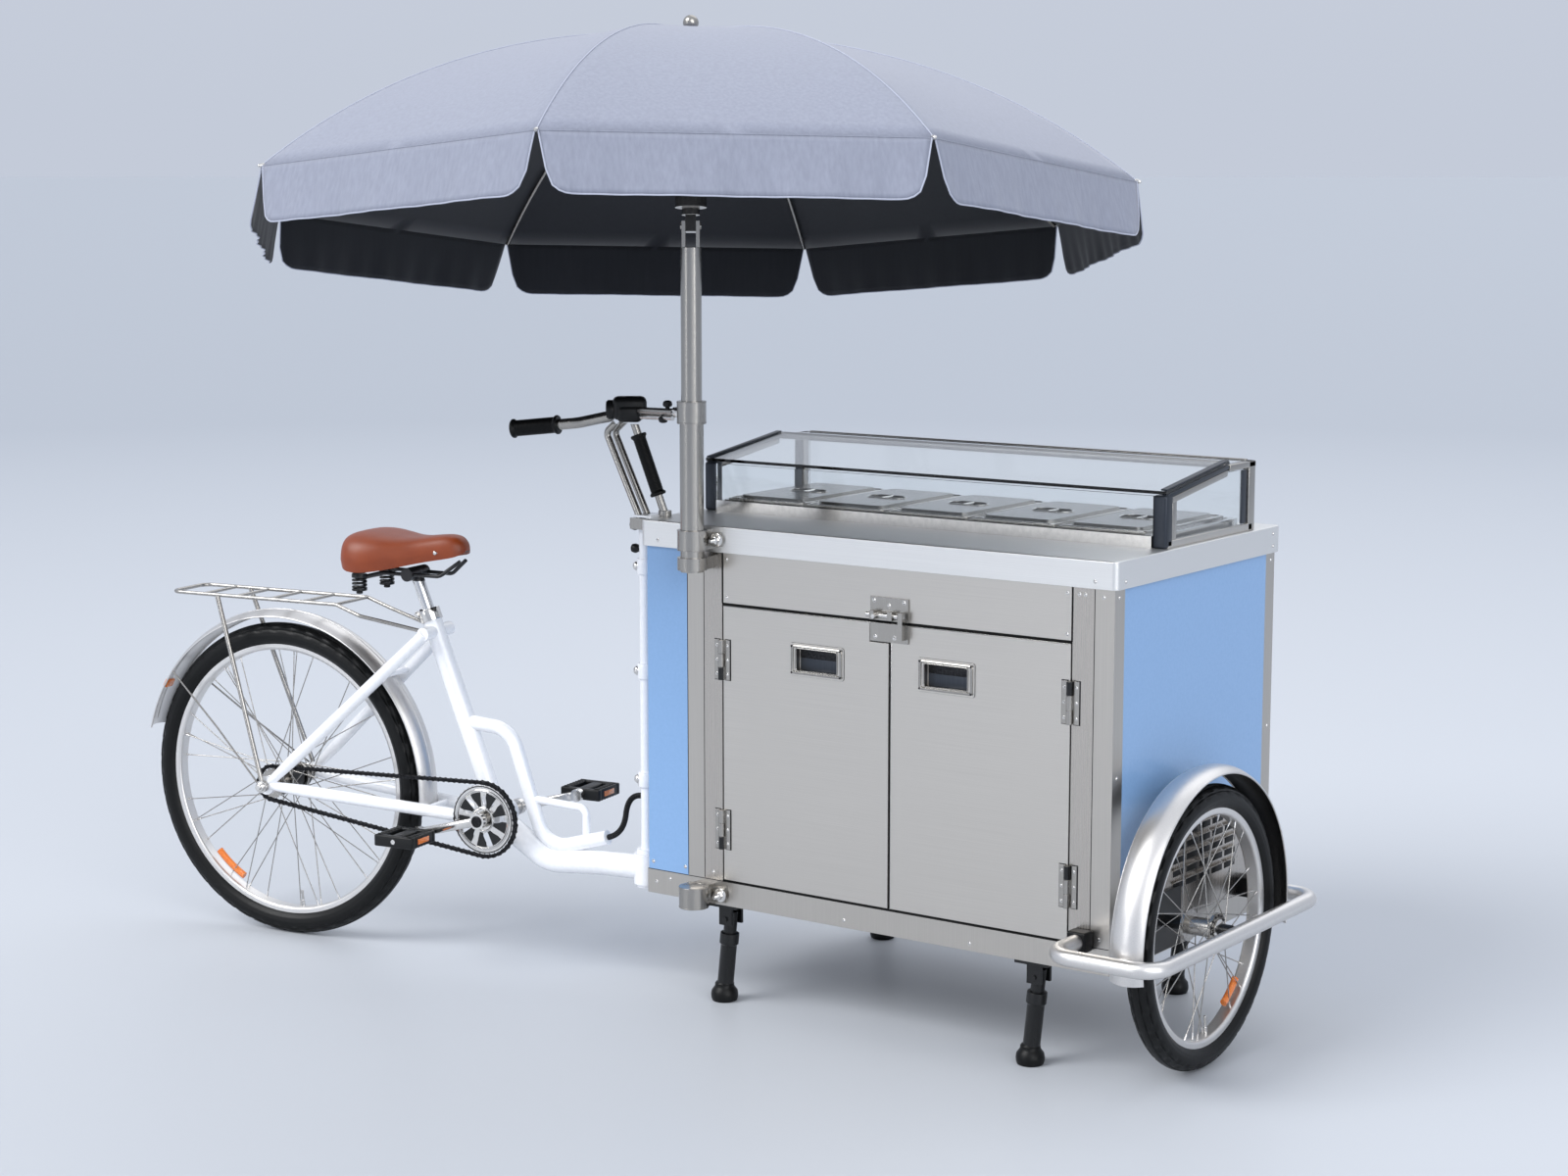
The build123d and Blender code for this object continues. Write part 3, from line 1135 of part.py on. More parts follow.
with BuildPart() as cycle_frame:
    rod_between(BRACKET, tuple(SEAT_TOP), SEAT_TUBE_RADIUS)
    clamp_low = SEAT_TOP - SEAT_WAY * SEAT_CLAMP_HEIGHT
    clamp_bolt = SEAT_TOP - SEAT_WAY * (SEAT_CLAMP_HEIGHT / 2)
    rod_between(tuple(clamp_low), tuple(SEAT_TOP), SEAT_TUBE_RADIUS + SEAT_CLAMP_WALL)
    along_y((clamp_bolt.X - SEAT_TUBE_RADIUS - SEAT_CLAMP_WALL, 0, clamp_bolt.Z), -14, 14, 7)
    tube_along([(-BRACKET_BACK, 0, 305), (-231, 0, 228), (-100, 0, 237), (-5, 0, 237)], 80, BEAM_RADIUS)
    tube_along([(-418, 0, 500), (-318, 0, 492), (-238, 0, 250), (-92, 0, 290)], 60, LOOP_RADIUS)
    tube_along([(-262, 0, 352), (-142, 0, 345), (-142, 0, 275)], 18, 8)
    along_y(BRACKET, -37, 37, BEAM_RADIUS + 2)
    along_y(STAY_TOP, -50, 50, STAY_BRIDGE)
    for side in (-1, 1):
        axle_end = Vector(AXLE[0], side * STAY_SIDE, AXLE[2])
        for start in ((STAY_TOP[0], side * 42, STAY_TOP[2]), (STAY_LOW[0], side * 34, STAY_LOW[2])):
            taper_start = axle_end + (Vector(*start) - axle_end).normalized() * STAY_TAPER
            rod_between(start, tuple(taper_start), STAY_RADIUS)
            taper_between(tuple(taper_start), tuple(axle_end), STAY_RADIUS, STAY_END_RADIUS)
        inner, outer = sorted((side * DROPOUT_IN, side * DROPOUT_OUT))
        along_y(AXLE, inner, outer, 20)
        inner, outer = sorted((side * (HUB_REAR + SEAT_GAP), side * DROPOUT_IN))
        along_y(AXLE, inner, outer, 11)
    for target in (STAY_TOP, STAY_LOW):
        bridge = tuple(stay_point(target, REAR_FENDER + FENDER_SHEET + 7 + SEAT_GAP))
        along_y(bridge, -48, 48, 7)
    along_y(AXLE, -RACK_EYE - 8, RACK_EYE + 8, REAR_AXLE)
    rod_between((0, 0, SLEEVE_LOW), (0, 0, SLEEVE_HIGH), SLEEVE_RADIUS)
    rod_between((0, 0, 0), (0, 0, 400), COLUMN_RADIUS + RUNNING_CLEARANCE, mode=Mode.SUBTRACT)
    along_y(BRACKET, -60, 60, 9 + RUNNING_CLEARANCE, mode=Mode.SUBTRACT)
    rod_between(
        tuple(SEAT_TOP - SEAT_WAY * 170),
        tuple(SEAT_TOP + SEAT_WAY * 5),
        POST_RADIUS + RUNNING_CLEARANCE,
        mode=Mode.SUBTRACT,
    )
write(cycle_frame.part.moved(CYCLE), "cycle_frame")

with BuildPart() as rear_tyre:
    make_tyre(REAR_RADIUS, REAR_TYRE)
write(rear_tyre.part.moved(REAR), "rear_tyre")
with BuildPart() as rear_rim:
    make_rim(REAR_RADIUS, REAR_TYRE)
write(rear_rim.part.moved(REAR), "rear_rim")
CHAIN_PITCH = 12.7
RING_PITCH = CHAIN_PITCH * RING_TEETH / (2 * 3.14159265)
SPROCKET_PITCH = CHAIN_PITCH * SPROCKET_TEETH / (2 * 3.14159265)


def toothed_disc(centre, pitch_radius, teeth, thick):
    """A sprocket whose teeth end just inside the chain."""
    tip = pitch_radius - CHAIN_HEIGHT / 2 - CHAIN_CLEARANCE
    plane = Plane(origin=(centre[0], CHAIN_LINE - thick / 2, centre[2]), x_dir=(1, 0, 0), z_dir=(0, 1, 0))
    with BuildSketch(plane) as disc:
        Circle(tip)
        with PolarLocations(tip + 1, teeth):
            Circle(3.6, mode=Mode.SUBTRACT)
    extrude(disc.sketch, amount=thick)


with BuildPart() as rear_spokes:
    toothed_disc((0, 0, 0), SPROCKET_PITCH, SPROCKET_TEETH, 3)
    make_hub(HUB_REAR, REAR_AXLE + RUNNING_CLEARANCE)
    make_spokes(REAR_RADIUS, REAR_TYRE, REAR_SPOKES)
write(rear_spokes.part.moved(REAR), "rear_spokes")

with BuildPart() as chain:
    chain_plane = Plane(origin=(0, CHAIN_LINE + CHAIN_WIDTH / 2, 0), x_dir=(1, 0, 0), z_dir=(0, -1, 0))
    for offset, mode in ((CHAIN_HEIGHT / 2, Mode.ADD), (-CHAIN_HEIGHT / 2, Mode.SUBTRACT)):
        with BuildSketch(chain_plane) as loop:
            with Locations((BRACKET[0], BRACKET[2])):
                Circle(RING_PITCH + offset)
            with Locations((AXLE[0], AXLE[2])):
                Circle(SPROCKET_PITCH + offset)
            make_hull()
        extrude(loop.sketch, amount=CHAIN_WIDTH, mode=mode)
write(chain.part.moved(CYCLE), "chain")

CRANK_X = CRANK_LENGTH * cos(radians(CRANK_ANGLE))
CRANK_Z = CRANK_LENGTH * sin(radians(CRANK_ANGLE))
PEDAL_AXLE = 5.0
with BuildPart() as crankset:
    toothed_disc(BRACKET, RING_PITCH, RING_TEETH, 3)
    ring_face = Plane(origin=(BRACKET[0], CHAIN_LINE - 5, BRACKET[2]), x_dir=(1, 0, 0), z_dir=(0, 1, 0))
    with BuildSketch(ring_face):
        with PolarLocations(42, 5):
            Circle(15)
    extrude(amount=10, mode=Mode.SUBTRACT)
    along_y(BRACKET, -CRANK_SIDE - 4, CRANK_SIDE + 4, 9)
    for side in (-1, 1):
        pedal = (BRACKET[0] + side * CRANK_X, 0, BRACKET[2] + side * CRANK_Z)
        low = side * CRANK_SIDE - 7
        along_y(BRACKET, low, low + 14, 17)
        along_y(pedal, low, low + 14, 13)
        rod_between(
            (BRACKET[0], side * CRANK_SIDE, BRACKET[2]), (pedal[0], side * CRANK_SIDE, pedal[2]), 6
        )
        near, far = sorted((side * CRANK_SIDE, side * (CRANK_SIDE + 12 + PEDAL_WIDTH - 4)))
        along_y(pedal, near, far, PEDAL_AXLE)
write(crankset.part.moved(CYCLE), "crankset")
for side, name in ((-1, "pedal_near"), (1, "pedal_far")):
    with BuildPart() as pedal:
        centre = (
            BRACKET[0] + side * CRANK_X,
            side * (CRANK_SIDE + 8 + PEDAL_WIDTH / 2),
            BRACKET[2] + side * CRANK_Z,
        )
        with Locations(centre):
            Box(PEDAL_LENGTH, PEDAL_WIDTH, PEDAL_THICK)
        fillet(pedal.edges().filter_by(Axis.Y), 8)
        with Locations((centre[0] - 24, *centre[1:]), (centre[0] + 24, *centre[1:])):
            Box(22, PEDAL_WIDTH - 28, PEDAL_THICK, mode=Mode.SUBTRACT)
        bore = PEDAL_AXLE + RUNNING_CLEARANCE
        along_y(centre, -2 * PEDAL_WIDTH - 40, 2 * PEDAL_WIDTH + 40, bore, mode=Mode.SUBTRACT)
    write(pedal.part.moved(CYCLE), name)

with BuildPart() as rear_fender:
    make_fender(REAR_FENDER, FENDER_HALF, 166, -6)
write(rear_fender.part.moved(REAR), "rear_fender")
with BuildPart() as rack:
    rear = -RACK_REAR
    front = -RACK_FRONT
    fixing = (STAY_TOP[0] - STAY_BRIDGE - 1.5, STAY_TOP[2] + 2)
    tube_along(
        [
            (fixing[0], -26, fixing[1]),
            (front + 60, -RACK_HALF, RACK_HEIGHT - 20),
            (front, -RACK_HALF, RACK_HEIGHT),
            (rear, -RACK_HALF, RACK_HEIGHT),
            (rear, RACK_HALF, RACK_HEIGHT),
            (front, RACK_HALF, RACK_HEIGHT),
            (front + 60, RACK_HALF, RACK_HEIGHT - 20),
            (fixing[0], 26, fixing[1]),
        ],
        22,
        RACK_WIRE,
    )
    for share in (0.0, 0.2, 0.4, 0.6, 0.8):
        x = front + (rear - front) * share
        rod_between((x, -RACK_HALF, RACK_HEIGHT), (x, RACK_HALF, RACK_HEIGHT), RACK_WIRE - 0.5)
    for side in (-1, 1):
        rod_between((-RACK_STRUT_BACK, side * RACK_HALF, RACK_HEIGHT), (AXLE[0], side * RACK_EYE, AXLE[2]), 5)
        inner, outer = sorted((side * (RACK_EYE - 5), side * (RACK_EYE + 5)))
        along_y(AXLE, inner, outer, 12)
    along_y(AXLE, -2 * RACK_EYE, 2 * RACK_EYE, REAR_AXLE + 2 * RUNNING_CLEARANCE, mode=Mode.SUBTRACT)
write(rack.part.moved(CYCLE), "rack")

# Seat post with the saddle's frame, and the saddle
POST_TOP = SEAT_TOP + SEAT_WAY * (POST_SHOWN + 6)
RAIL_Z = POST_TOP.Z - 4
SPRING_LOW = 795.0
SPRING_HIGH = 820.5
SPRING_RADIUS = 13.0
SPRING_WIRE = 1.6
SPRING_TURNS = 4
SPRING_START = SPRING_LOW + 0.4 + SPRING_WIRE


def spring_wire(place, step):
    """A point on the middle of a spring's wire, counted in quarter turns."""
    turn = radians(90 * step)
    rise = SPRING_START + (SPRING_HIGH - SPRING_START) * step / (4 * SPRING_TURNS)
    return (place[0] + SPRING_RADIUS * cos(turn), place[1] + SPRING_RADIUS * sin(turn), rise)


def coil_spring(place):
    """A round wire spring, one unbroken tube along quarter turns."""
    with BuildLine() as route:
        for step in range(4 * SPRING_TURNS):
            ThreePointArc(*[spring_wire(place, step + part) for part in (0, 0.5, 1)])
    with BuildSketch(Plane(origin=route.line @ 0, z_dir=route.line % 0)) as section:
        Circle(SPRING_WIRE)
    sweep(section.sketch, path=route.line)


with BuildPart() as seat_post:
    rod_between(tuple(SEAT_TOP - SEAT_WAY * POST_INSIDE), tuple(POST_TOP), POST_RADIUS)
    along_y((POST_TOP.X, 0, RAIL_Z), -34, 34, 14)
    for side in (-1, 1):
        tube_along(
            [
                (-428, side * 10, 833.2),
                (-470, side * 24, RAIL_Z),
                (-610, side * 30, RAIL_Z),
                (-SPRING_BACK, side * SPRING_SIDE, SPRING_LOW - 5),
            ],
            24,
            4,
        )
    along_y((-SPRING_BACK, 0, SPRING_LOW - 5), -SPRING_SIDE - 8, SPRING_SIDE + 8, 5)
    for side in (-1, 1):
        with Locations((-SPRING_BACK, side * SPRING_SIDE, SPRING_LOW - 1)):
            Cylinder(16, 4)
        coil_spring((-SPRING_BACK, side * SPRING_SIDE))
write(seat_post.part.moved(CYCLE), "seat_post")
samples = [spring_wire((0, 0), step / 10) for step in range(40 * SPRING_TURNS + 1)]
apart = min(dist(a, b) for i, a in enumerate(samples) for b in samples[i + 20 :])
print("least gap of a saddle spring to itself:", round(apart - 2 * SPRING_WIRE, 2), "mm")
SADDLE_SECTIONS = [
    (-686, 150, 44, 862),
    (-660, 200, 66, 858),
    (-610, 206, 74, 856),
    (-540, 150, 62, 862),
    (-480, 84, 54, 862),
    (-432, 56, 46, 858),
    (-416, 34, 28, 858),
]
with BuildPart() as saddle:
    for place, width, height, middle in SADDLE_SECTIONS:
        with BuildSketch(Plane(origin=(place, 0, middle), x_dir=(0, 1, 0), z_dir=(1, 0, 0))):
            Ellipse(width / 2, height / 2)
    loft()
write(saddle.part.moved(CYCLE), "saddle")
with BuildPart() as cable_hose:
    tube_along([(-91.2, 0, 290.2), (-55, 0, 300), (-44, 0, 384), (-COLUMN_RADIUS - 0.4, 0, 384)], 12, 6)
write(cable_hose.part.moved(CYCLE), "cable_hose")
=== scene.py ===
"""Looks for the ice cream cart: finishes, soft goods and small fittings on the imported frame."""

from collections import namedtuple
from math import asin, atan2, copysign, cos, degrees, hypot, pi, radians, sin, sqrt, tan

import bmesh
import bpy
from mathutils import Matrix, Vector


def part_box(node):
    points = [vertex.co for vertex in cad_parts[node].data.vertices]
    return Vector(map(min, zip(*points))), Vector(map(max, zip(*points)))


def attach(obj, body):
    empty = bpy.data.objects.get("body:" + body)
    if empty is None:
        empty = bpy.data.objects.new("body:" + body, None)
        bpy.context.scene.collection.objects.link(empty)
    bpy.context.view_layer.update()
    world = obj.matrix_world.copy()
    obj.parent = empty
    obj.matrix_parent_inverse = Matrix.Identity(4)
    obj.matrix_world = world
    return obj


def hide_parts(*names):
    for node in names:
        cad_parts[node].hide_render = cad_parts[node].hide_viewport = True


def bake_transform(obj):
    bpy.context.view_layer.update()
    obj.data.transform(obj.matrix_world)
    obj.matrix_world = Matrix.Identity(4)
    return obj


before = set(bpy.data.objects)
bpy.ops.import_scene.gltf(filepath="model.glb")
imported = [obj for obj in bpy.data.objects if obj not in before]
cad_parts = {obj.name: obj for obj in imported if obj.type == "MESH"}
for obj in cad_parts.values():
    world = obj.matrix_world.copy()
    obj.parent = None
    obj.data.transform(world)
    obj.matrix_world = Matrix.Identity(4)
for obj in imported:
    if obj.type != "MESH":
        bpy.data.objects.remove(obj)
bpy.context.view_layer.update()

bl_info = {
    "name": "Ice Cream Cart Looks",
    "version": (1, 0, 0),
    "blender": (4, 5, 0),
    "location": "View3D > Sidebar > Cart",
    "description": "Dresses the packed ice cream cart with finishes, cloth, rubber and fittings",
    "category": "Object",
}

OUT, BACK, LEFT, RIGHT, UP = (0, -1, 0), (0, 1, 0), (-1, 0, 0), (1, 0, 0), (0, 0, 1)

# Places and sizes, in millimetres, that repeat the solid model's values
POLE = (155.0, -35.0)
TILT_HEIGHT = 1522.0
TILT_ANGLE = 8.3
TILT_TOWARD = 35.5
RIM_RADIUS = 845.0
RIM_HEIGHT = 52.0
CROWN_RADIUS = 16
CANOPY_RISE = 305.0
RIB_COUNT = 8
RIB_TURN = 29.8
VALANCE_HEIGHT = 105.0
VALANCE_FLARE = 10.0
COLUMN = (-25.0, 49.0)
STEER_ANGLE = 9.0
REAR_AXLE = (-876.0, 0.0, 337.0)
BRACKET = (-352.0, 0.0, 312.0)
CRANK_LENGTH = 150.0
CRANK_ANGLE = 15.0
CRANK_SIDE = 76.0
CHAIN_LINE = -58.0
CHAIN_PITCH = 12.7
RING_TEETH = 38
SPROCKET_TEETH = 18
FRONT_WHEEL = (1135.0, 205.0, 263.0)
DOOR_MIDDLE = 581.0
DOOR_FACE = 7.9
DOOR_LEVEL = 525
PULL_LEVEL = 708
SEAL_DEPTH = 13.5
COUNTER_MIDDLE = 530
HINGE_PIVOTS = (195.5, 966.5)
HINGE_HEIGHTS = (690.0, 355.0)
LID_PLACES = (150, 340, 530, 720, 910)
LEG_PLACES = ((190, 40), (890, 40), (190, 606), (890, 606))
LEG_LEAN = 6.0
CONTROL_BOX = Vector((-58.0, 43.0, 1158.0))
BAR_END = (Vector((-137.0, -20.0, 1133.0)), Vector((-268.0, -60.0, 1118.0)))
GRAB_BAR = (Vector((-52.0, 46.0, 1140.0)), Vector((14.0, 62.0, 954.0)))
HOSE_ROUTE = ((-91.2, 290.2), (-55.0, 300.0), (-44.0, 384.0), (-13.4, 384.0))


def place(origin, turn=0.0, lean=0.0):
    """A matrix from millimetres in a group's own frame to metres in the part's frame."""
    spin = Matrix.Rotation(radians(turn), 4, "Z") @ Matrix.Rotation(radians(lean), 4, "X")
    return Matrix.Translation(origin) @ spin @ Matrix.Scale(0.001, 4)


COUNTER_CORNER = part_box("counter")[0]
CABINET = place((COUNTER_CORNER.x, COUNTER_CORNER.y, 0.0))
CYCLE = place(CABINET @ Vector((*COLUMN, 0.0)), STEER_ANGLE)
REAR = CYCLE @ Matrix.Translation(REAR_AXLE)
FRONT = place(CABINET @ Vector(FRONT_WHEEL), 90.0)
HEAD = place(CABINET @ Vector((*POLE, TILT_HEIGHT)), TILT_TOWARD, -TILT_ANGLE)

# A wheel's tread is the count of its steps, reflector the angle of its spoke reflector, cap the hub's end
Wheel = namedtuple("Wheel", "name group radius tyre tread spokes reflector cap")
WHEELS = (
    Wheel("rear", REAR, 337.0, 50.0, 288, 36, -128.0, 64.0),
    Wheel("front", FRONT, 263.0, 48.0, 228, 28, -52.0, 31.0),
)


# Materials
def linear(code):
    """A colour from its sRGB hex code, in the scene's linear values."""
    parts = [int(code[i : i + 2], 16) / 255 for i in (1, 3, 5)]
    return (*[c / 12.92 if c <= 0.04045 else ((c + 0.055) / 1.055) ** 2.4 for c in parts], 1.0)


def feed(tree, node, inputs):
    """Set a node's inputs, and link those that are given a socket."""
    for key, value in inputs.items():
        if isinstance(value, bpy.types.NodeSocket):
            tree.links.new(value, node.inputs[key])
        else:
            node.inputs[key].default_value = value


def add_node(tree, kind, inputs=(), **settings):
    """Add one node with its properties and inputs."""
    made = tree.nodes.new(kind)
    for key, value in settings.items():
        setattr(made, key, value)
    feed(tree, made, dict(inputs))
    return made


def mix(tree, share, light, dark):
    """A colour between two, each an sRGB code or a socket."""
    ends = [linear(end) if isinstance(end, str) else end for end in (light, dark)]
    inputs = {"Factor": share, 6: ends[0], 7: ends[1]}
    return add_node(tree, "ShaderNodeMix", inputs, data_type="RGBA").outputs[2]


def ranged(tree, value, old=(0.0, 1.0), new=(0.0, 1.0)):
    """A value carried from one range to another."""
    ends = dict(zip(("From Min", "From Max", "To Min", "To Max"), (*old, *new)))
    return add_node(tree, "ShaderNodeMapRange", {"Value": value, **ends}).outputs[0]


def relief(tree, height, strength, depth, **under):
    """A normal raised by a height, to a depth in metres."""
    inputs = {"Height": height, "Strength": strength, "Distance": depth, **under}
    return add_node(tree, "ShaderNodeBump", inputs).outputs[0]


def maths(tree, operation, first, second):
    """One step of arithmetic on two values or sockets."""
    return add_node(tree, "ShaderNodeMath", {0: first, 1: second}, operation=operation).outputs[0]


def start_material(name):
    """An empty material tree with its coordinates, shader and output."""
    material = bpy.data.materials.new(name)
    material.use_nodes = True
    tree = material.node_tree
    tree.nodes.clear()
    shader = add_node(tree, "ShaderNodeBsdfPrincipled")
    add_node(tree, "ShaderNodeOutputMaterial", {"Surface": shader.outputs[0]})
    where = add_node(tree, "ShaderNodeTexCoord").outputs["Object"]
    return material, tree, shader, where


def surface(name, light, dark, rough, grain, bump=0.1, metallic=0.0, edge=0.0, coat=0.0, gloss=0.5):
    """A worked surface: two close tones and two roughnesses mixed by a grain of a size in mm."""
    material, tree, shader, where = start_material(name)
    scale = [1000.0 / size for size in grain]
    mapped = add_node(tree, "ShaderNodeMapping", {"Vector": where, "Scale": scale}).outputs[0]
    noise = add_node(tree, "ShaderNodeTexNoise", {"Vector": mapped, "Scale": 1.0, "Detail": 3.0}).outputs[0]
    spread = ranged(tree, noise, (0.3, 0.7))
    under = {}
    if edge:
        under["Normal"] = add_node(tree, "ShaderNodeBevel", {"Radius": edge / 1000.0}, samples=6).outputs[0]
    looks = {
        "Base Color": mix(tree, spread, light, dark),
        "Roughness": ranged(tree, spread, new=rough),
        "Normal": relief(tree, noise, bump, 0.0003, **under),
        "Metallic": metallic,
        "Coat Weight": coat,
        "Coat Roughness": 0.08,
        "Specular IOR Level": gloss,
    }
    feed(tree, shader, looks)
    return material


def leather():
    """Dyed saddle leather: pebbled grain, a darker tone that varies at random, and a soft polish."""
    material, tree, shader, where = start_material("pebbled_saddle_leather")
    cells = add_node(tree, "ShaderNodeTexVoronoi", {"Vector": where, "Scale": 620.0}).outputs[0]
    stain = add_node(tree, "ShaderNodeTexNoise", {"Vector": where, "Scale": 34.0, "Detail": 4.0}).outputs[0]
    looks = {
        "Base Color": mix(tree, stain, "#93421B", "#7A3110"),
        "Roughness": 0.42,
        "Normal": relief(tree, cells, 0.22, 0.0004),
    }
    feed(tree, shader, looks)
    return material


def woven(name, light, dark, rough):
    """Woven umbrella cloth: fine crossed threads and faint uneven dye."""
    material, tree, shader, where = start_material(name)
    thread = {"Vector": where, "Scale": 300.0, "Distortion": 0.6, "Detail": 1.0, "Detail Scale": 2.0}
    waves = [add_node(tree, "ShaderNodeTexWave", thread, bands_direction=way).outputs[1] for way in "XY"]
    streak = add_node(tree, "ShaderNodeMapping", {"Vector": where, "Scale": (160.0, 160.0, 12.0)}).outputs[0]
    dye = add_node(tree, "ShaderNodeTexNoise", {"Vector": streak, "Scale": 1.0, "Detail": 6.0}).outputs[0]
    looks = {
        "Base Color": mix(tree, dye, light, dark),
        "Roughness": rough,
        "Sheen Weight": 0.25,
        "Normal": relief(tree, maths(tree, "MULTIPLY", *waves), 0.12, 0.0003),
    }
    feed(tree, shader, looks)
    return material


def glass():
    """Float glass: clear, with a trace of waviness, and open to the light that falls through it."""
    material, tree, shader, where = start_material("clear_float_glass")
    wave = add_node(tree, "ShaderNodeTexNoise", {"Vector": where, "Scale": 3.0}).outputs[0]
    looks = {
        "Base Color": linear("#FBFDFD"),
        "Transmission Weight": 1.0,
        "Roughness": 0.01,
        "IOR": 1.45,
        "Normal": relief(tree, wave, 0.02, 0.001),
    }
    feed(tree, shader, looks)
    path = add_node(tree, "ShaderNodeLightPath").outputs
    passed = maths(tree, "MAXIMUM", path["Is Shadow Ray"], path["Is Diffuse Ray"])
    clear = add_node(tree, "ShaderNodeBsdfTransparent", {"Color": linear("#FAFCFC")}).outputs[0]
    shown = add_node(tree, "ShaderNodeMixShader", {0: passed, 1: shader.outputs[0], 2: clear}).outputs[0]
    feed(tree, tree.nodes["Material Output"], {"Surface": shown})
    return material


def reflector():
    """Moulded reflector: amber plastic with prisms of two millimetres that break the light, each prism
    painted paler at its middle and deeper at its edge as painted light.
    """
    material, tree, shader, where = start_material("amber_prism_reflector")
    cells = {"Vector": where, "Scale": 480.0}
    prisms = add_node(tree, "ShaderNodeTexVoronoi", cells, distance="MANHATTAN").outputs[0]
    looks = {
        # Paler amber at each prism's middle, deeper at its edge: painted light of the facets
        "Base Color": mix(tree, prisms, "#F59A2E", "#D9640F"),
        "Roughness": 0.15,
        "Coat Weight": 1.0,
        "Normal": relief(tree, prisms, 0.5, 0.0006),
    }
    feed(tree, shader, looks)
    return material


def post_and_springs():
    """Plated post below, black lacquered springs and rails above, split at one height."""
    material, tree, shader, where = start_material("plated_post_black_springs")
    height = add_node(tree, "ShaderNodeSeparateXYZ", {0: where}).outputs["Z"]
    above = maths(tree, "GREATER_THAN", height, 0.786)
    speck = add_node(tree, "ShaderNodeTexNoise", {"Vector": where, "Scale": 400.0}).outputs[0]
    looks = {
        "Base Color": mix(tree, above, "#D4D5D7", mix(tree, speck, "#1E1F22", "#121315")),
        "Metallic": maths(tree, "SUBTRACT", 1.0, above),
        "Roughness": ranged(tree, above, new=(0.14, 0.36)),
    }
    feed(tree, shader, looks)
    return material


def metal(name, light, dark, rough, grain, bump, edge=0.0):
    """A bare metal surface."""
    return surface(name, light, dark, rough, grain, bump, 1.0, edge)


def coated(name, light, dark, rough, grain, bump, edge=0.0, coat=0.0, gloss=0.5):
    """A painted or moulded surface, with a grain of the same size every way."""
    return surface(name, light, dark, rough, (grain,) * 3, bump, 0.0, edge, coat, gloss)


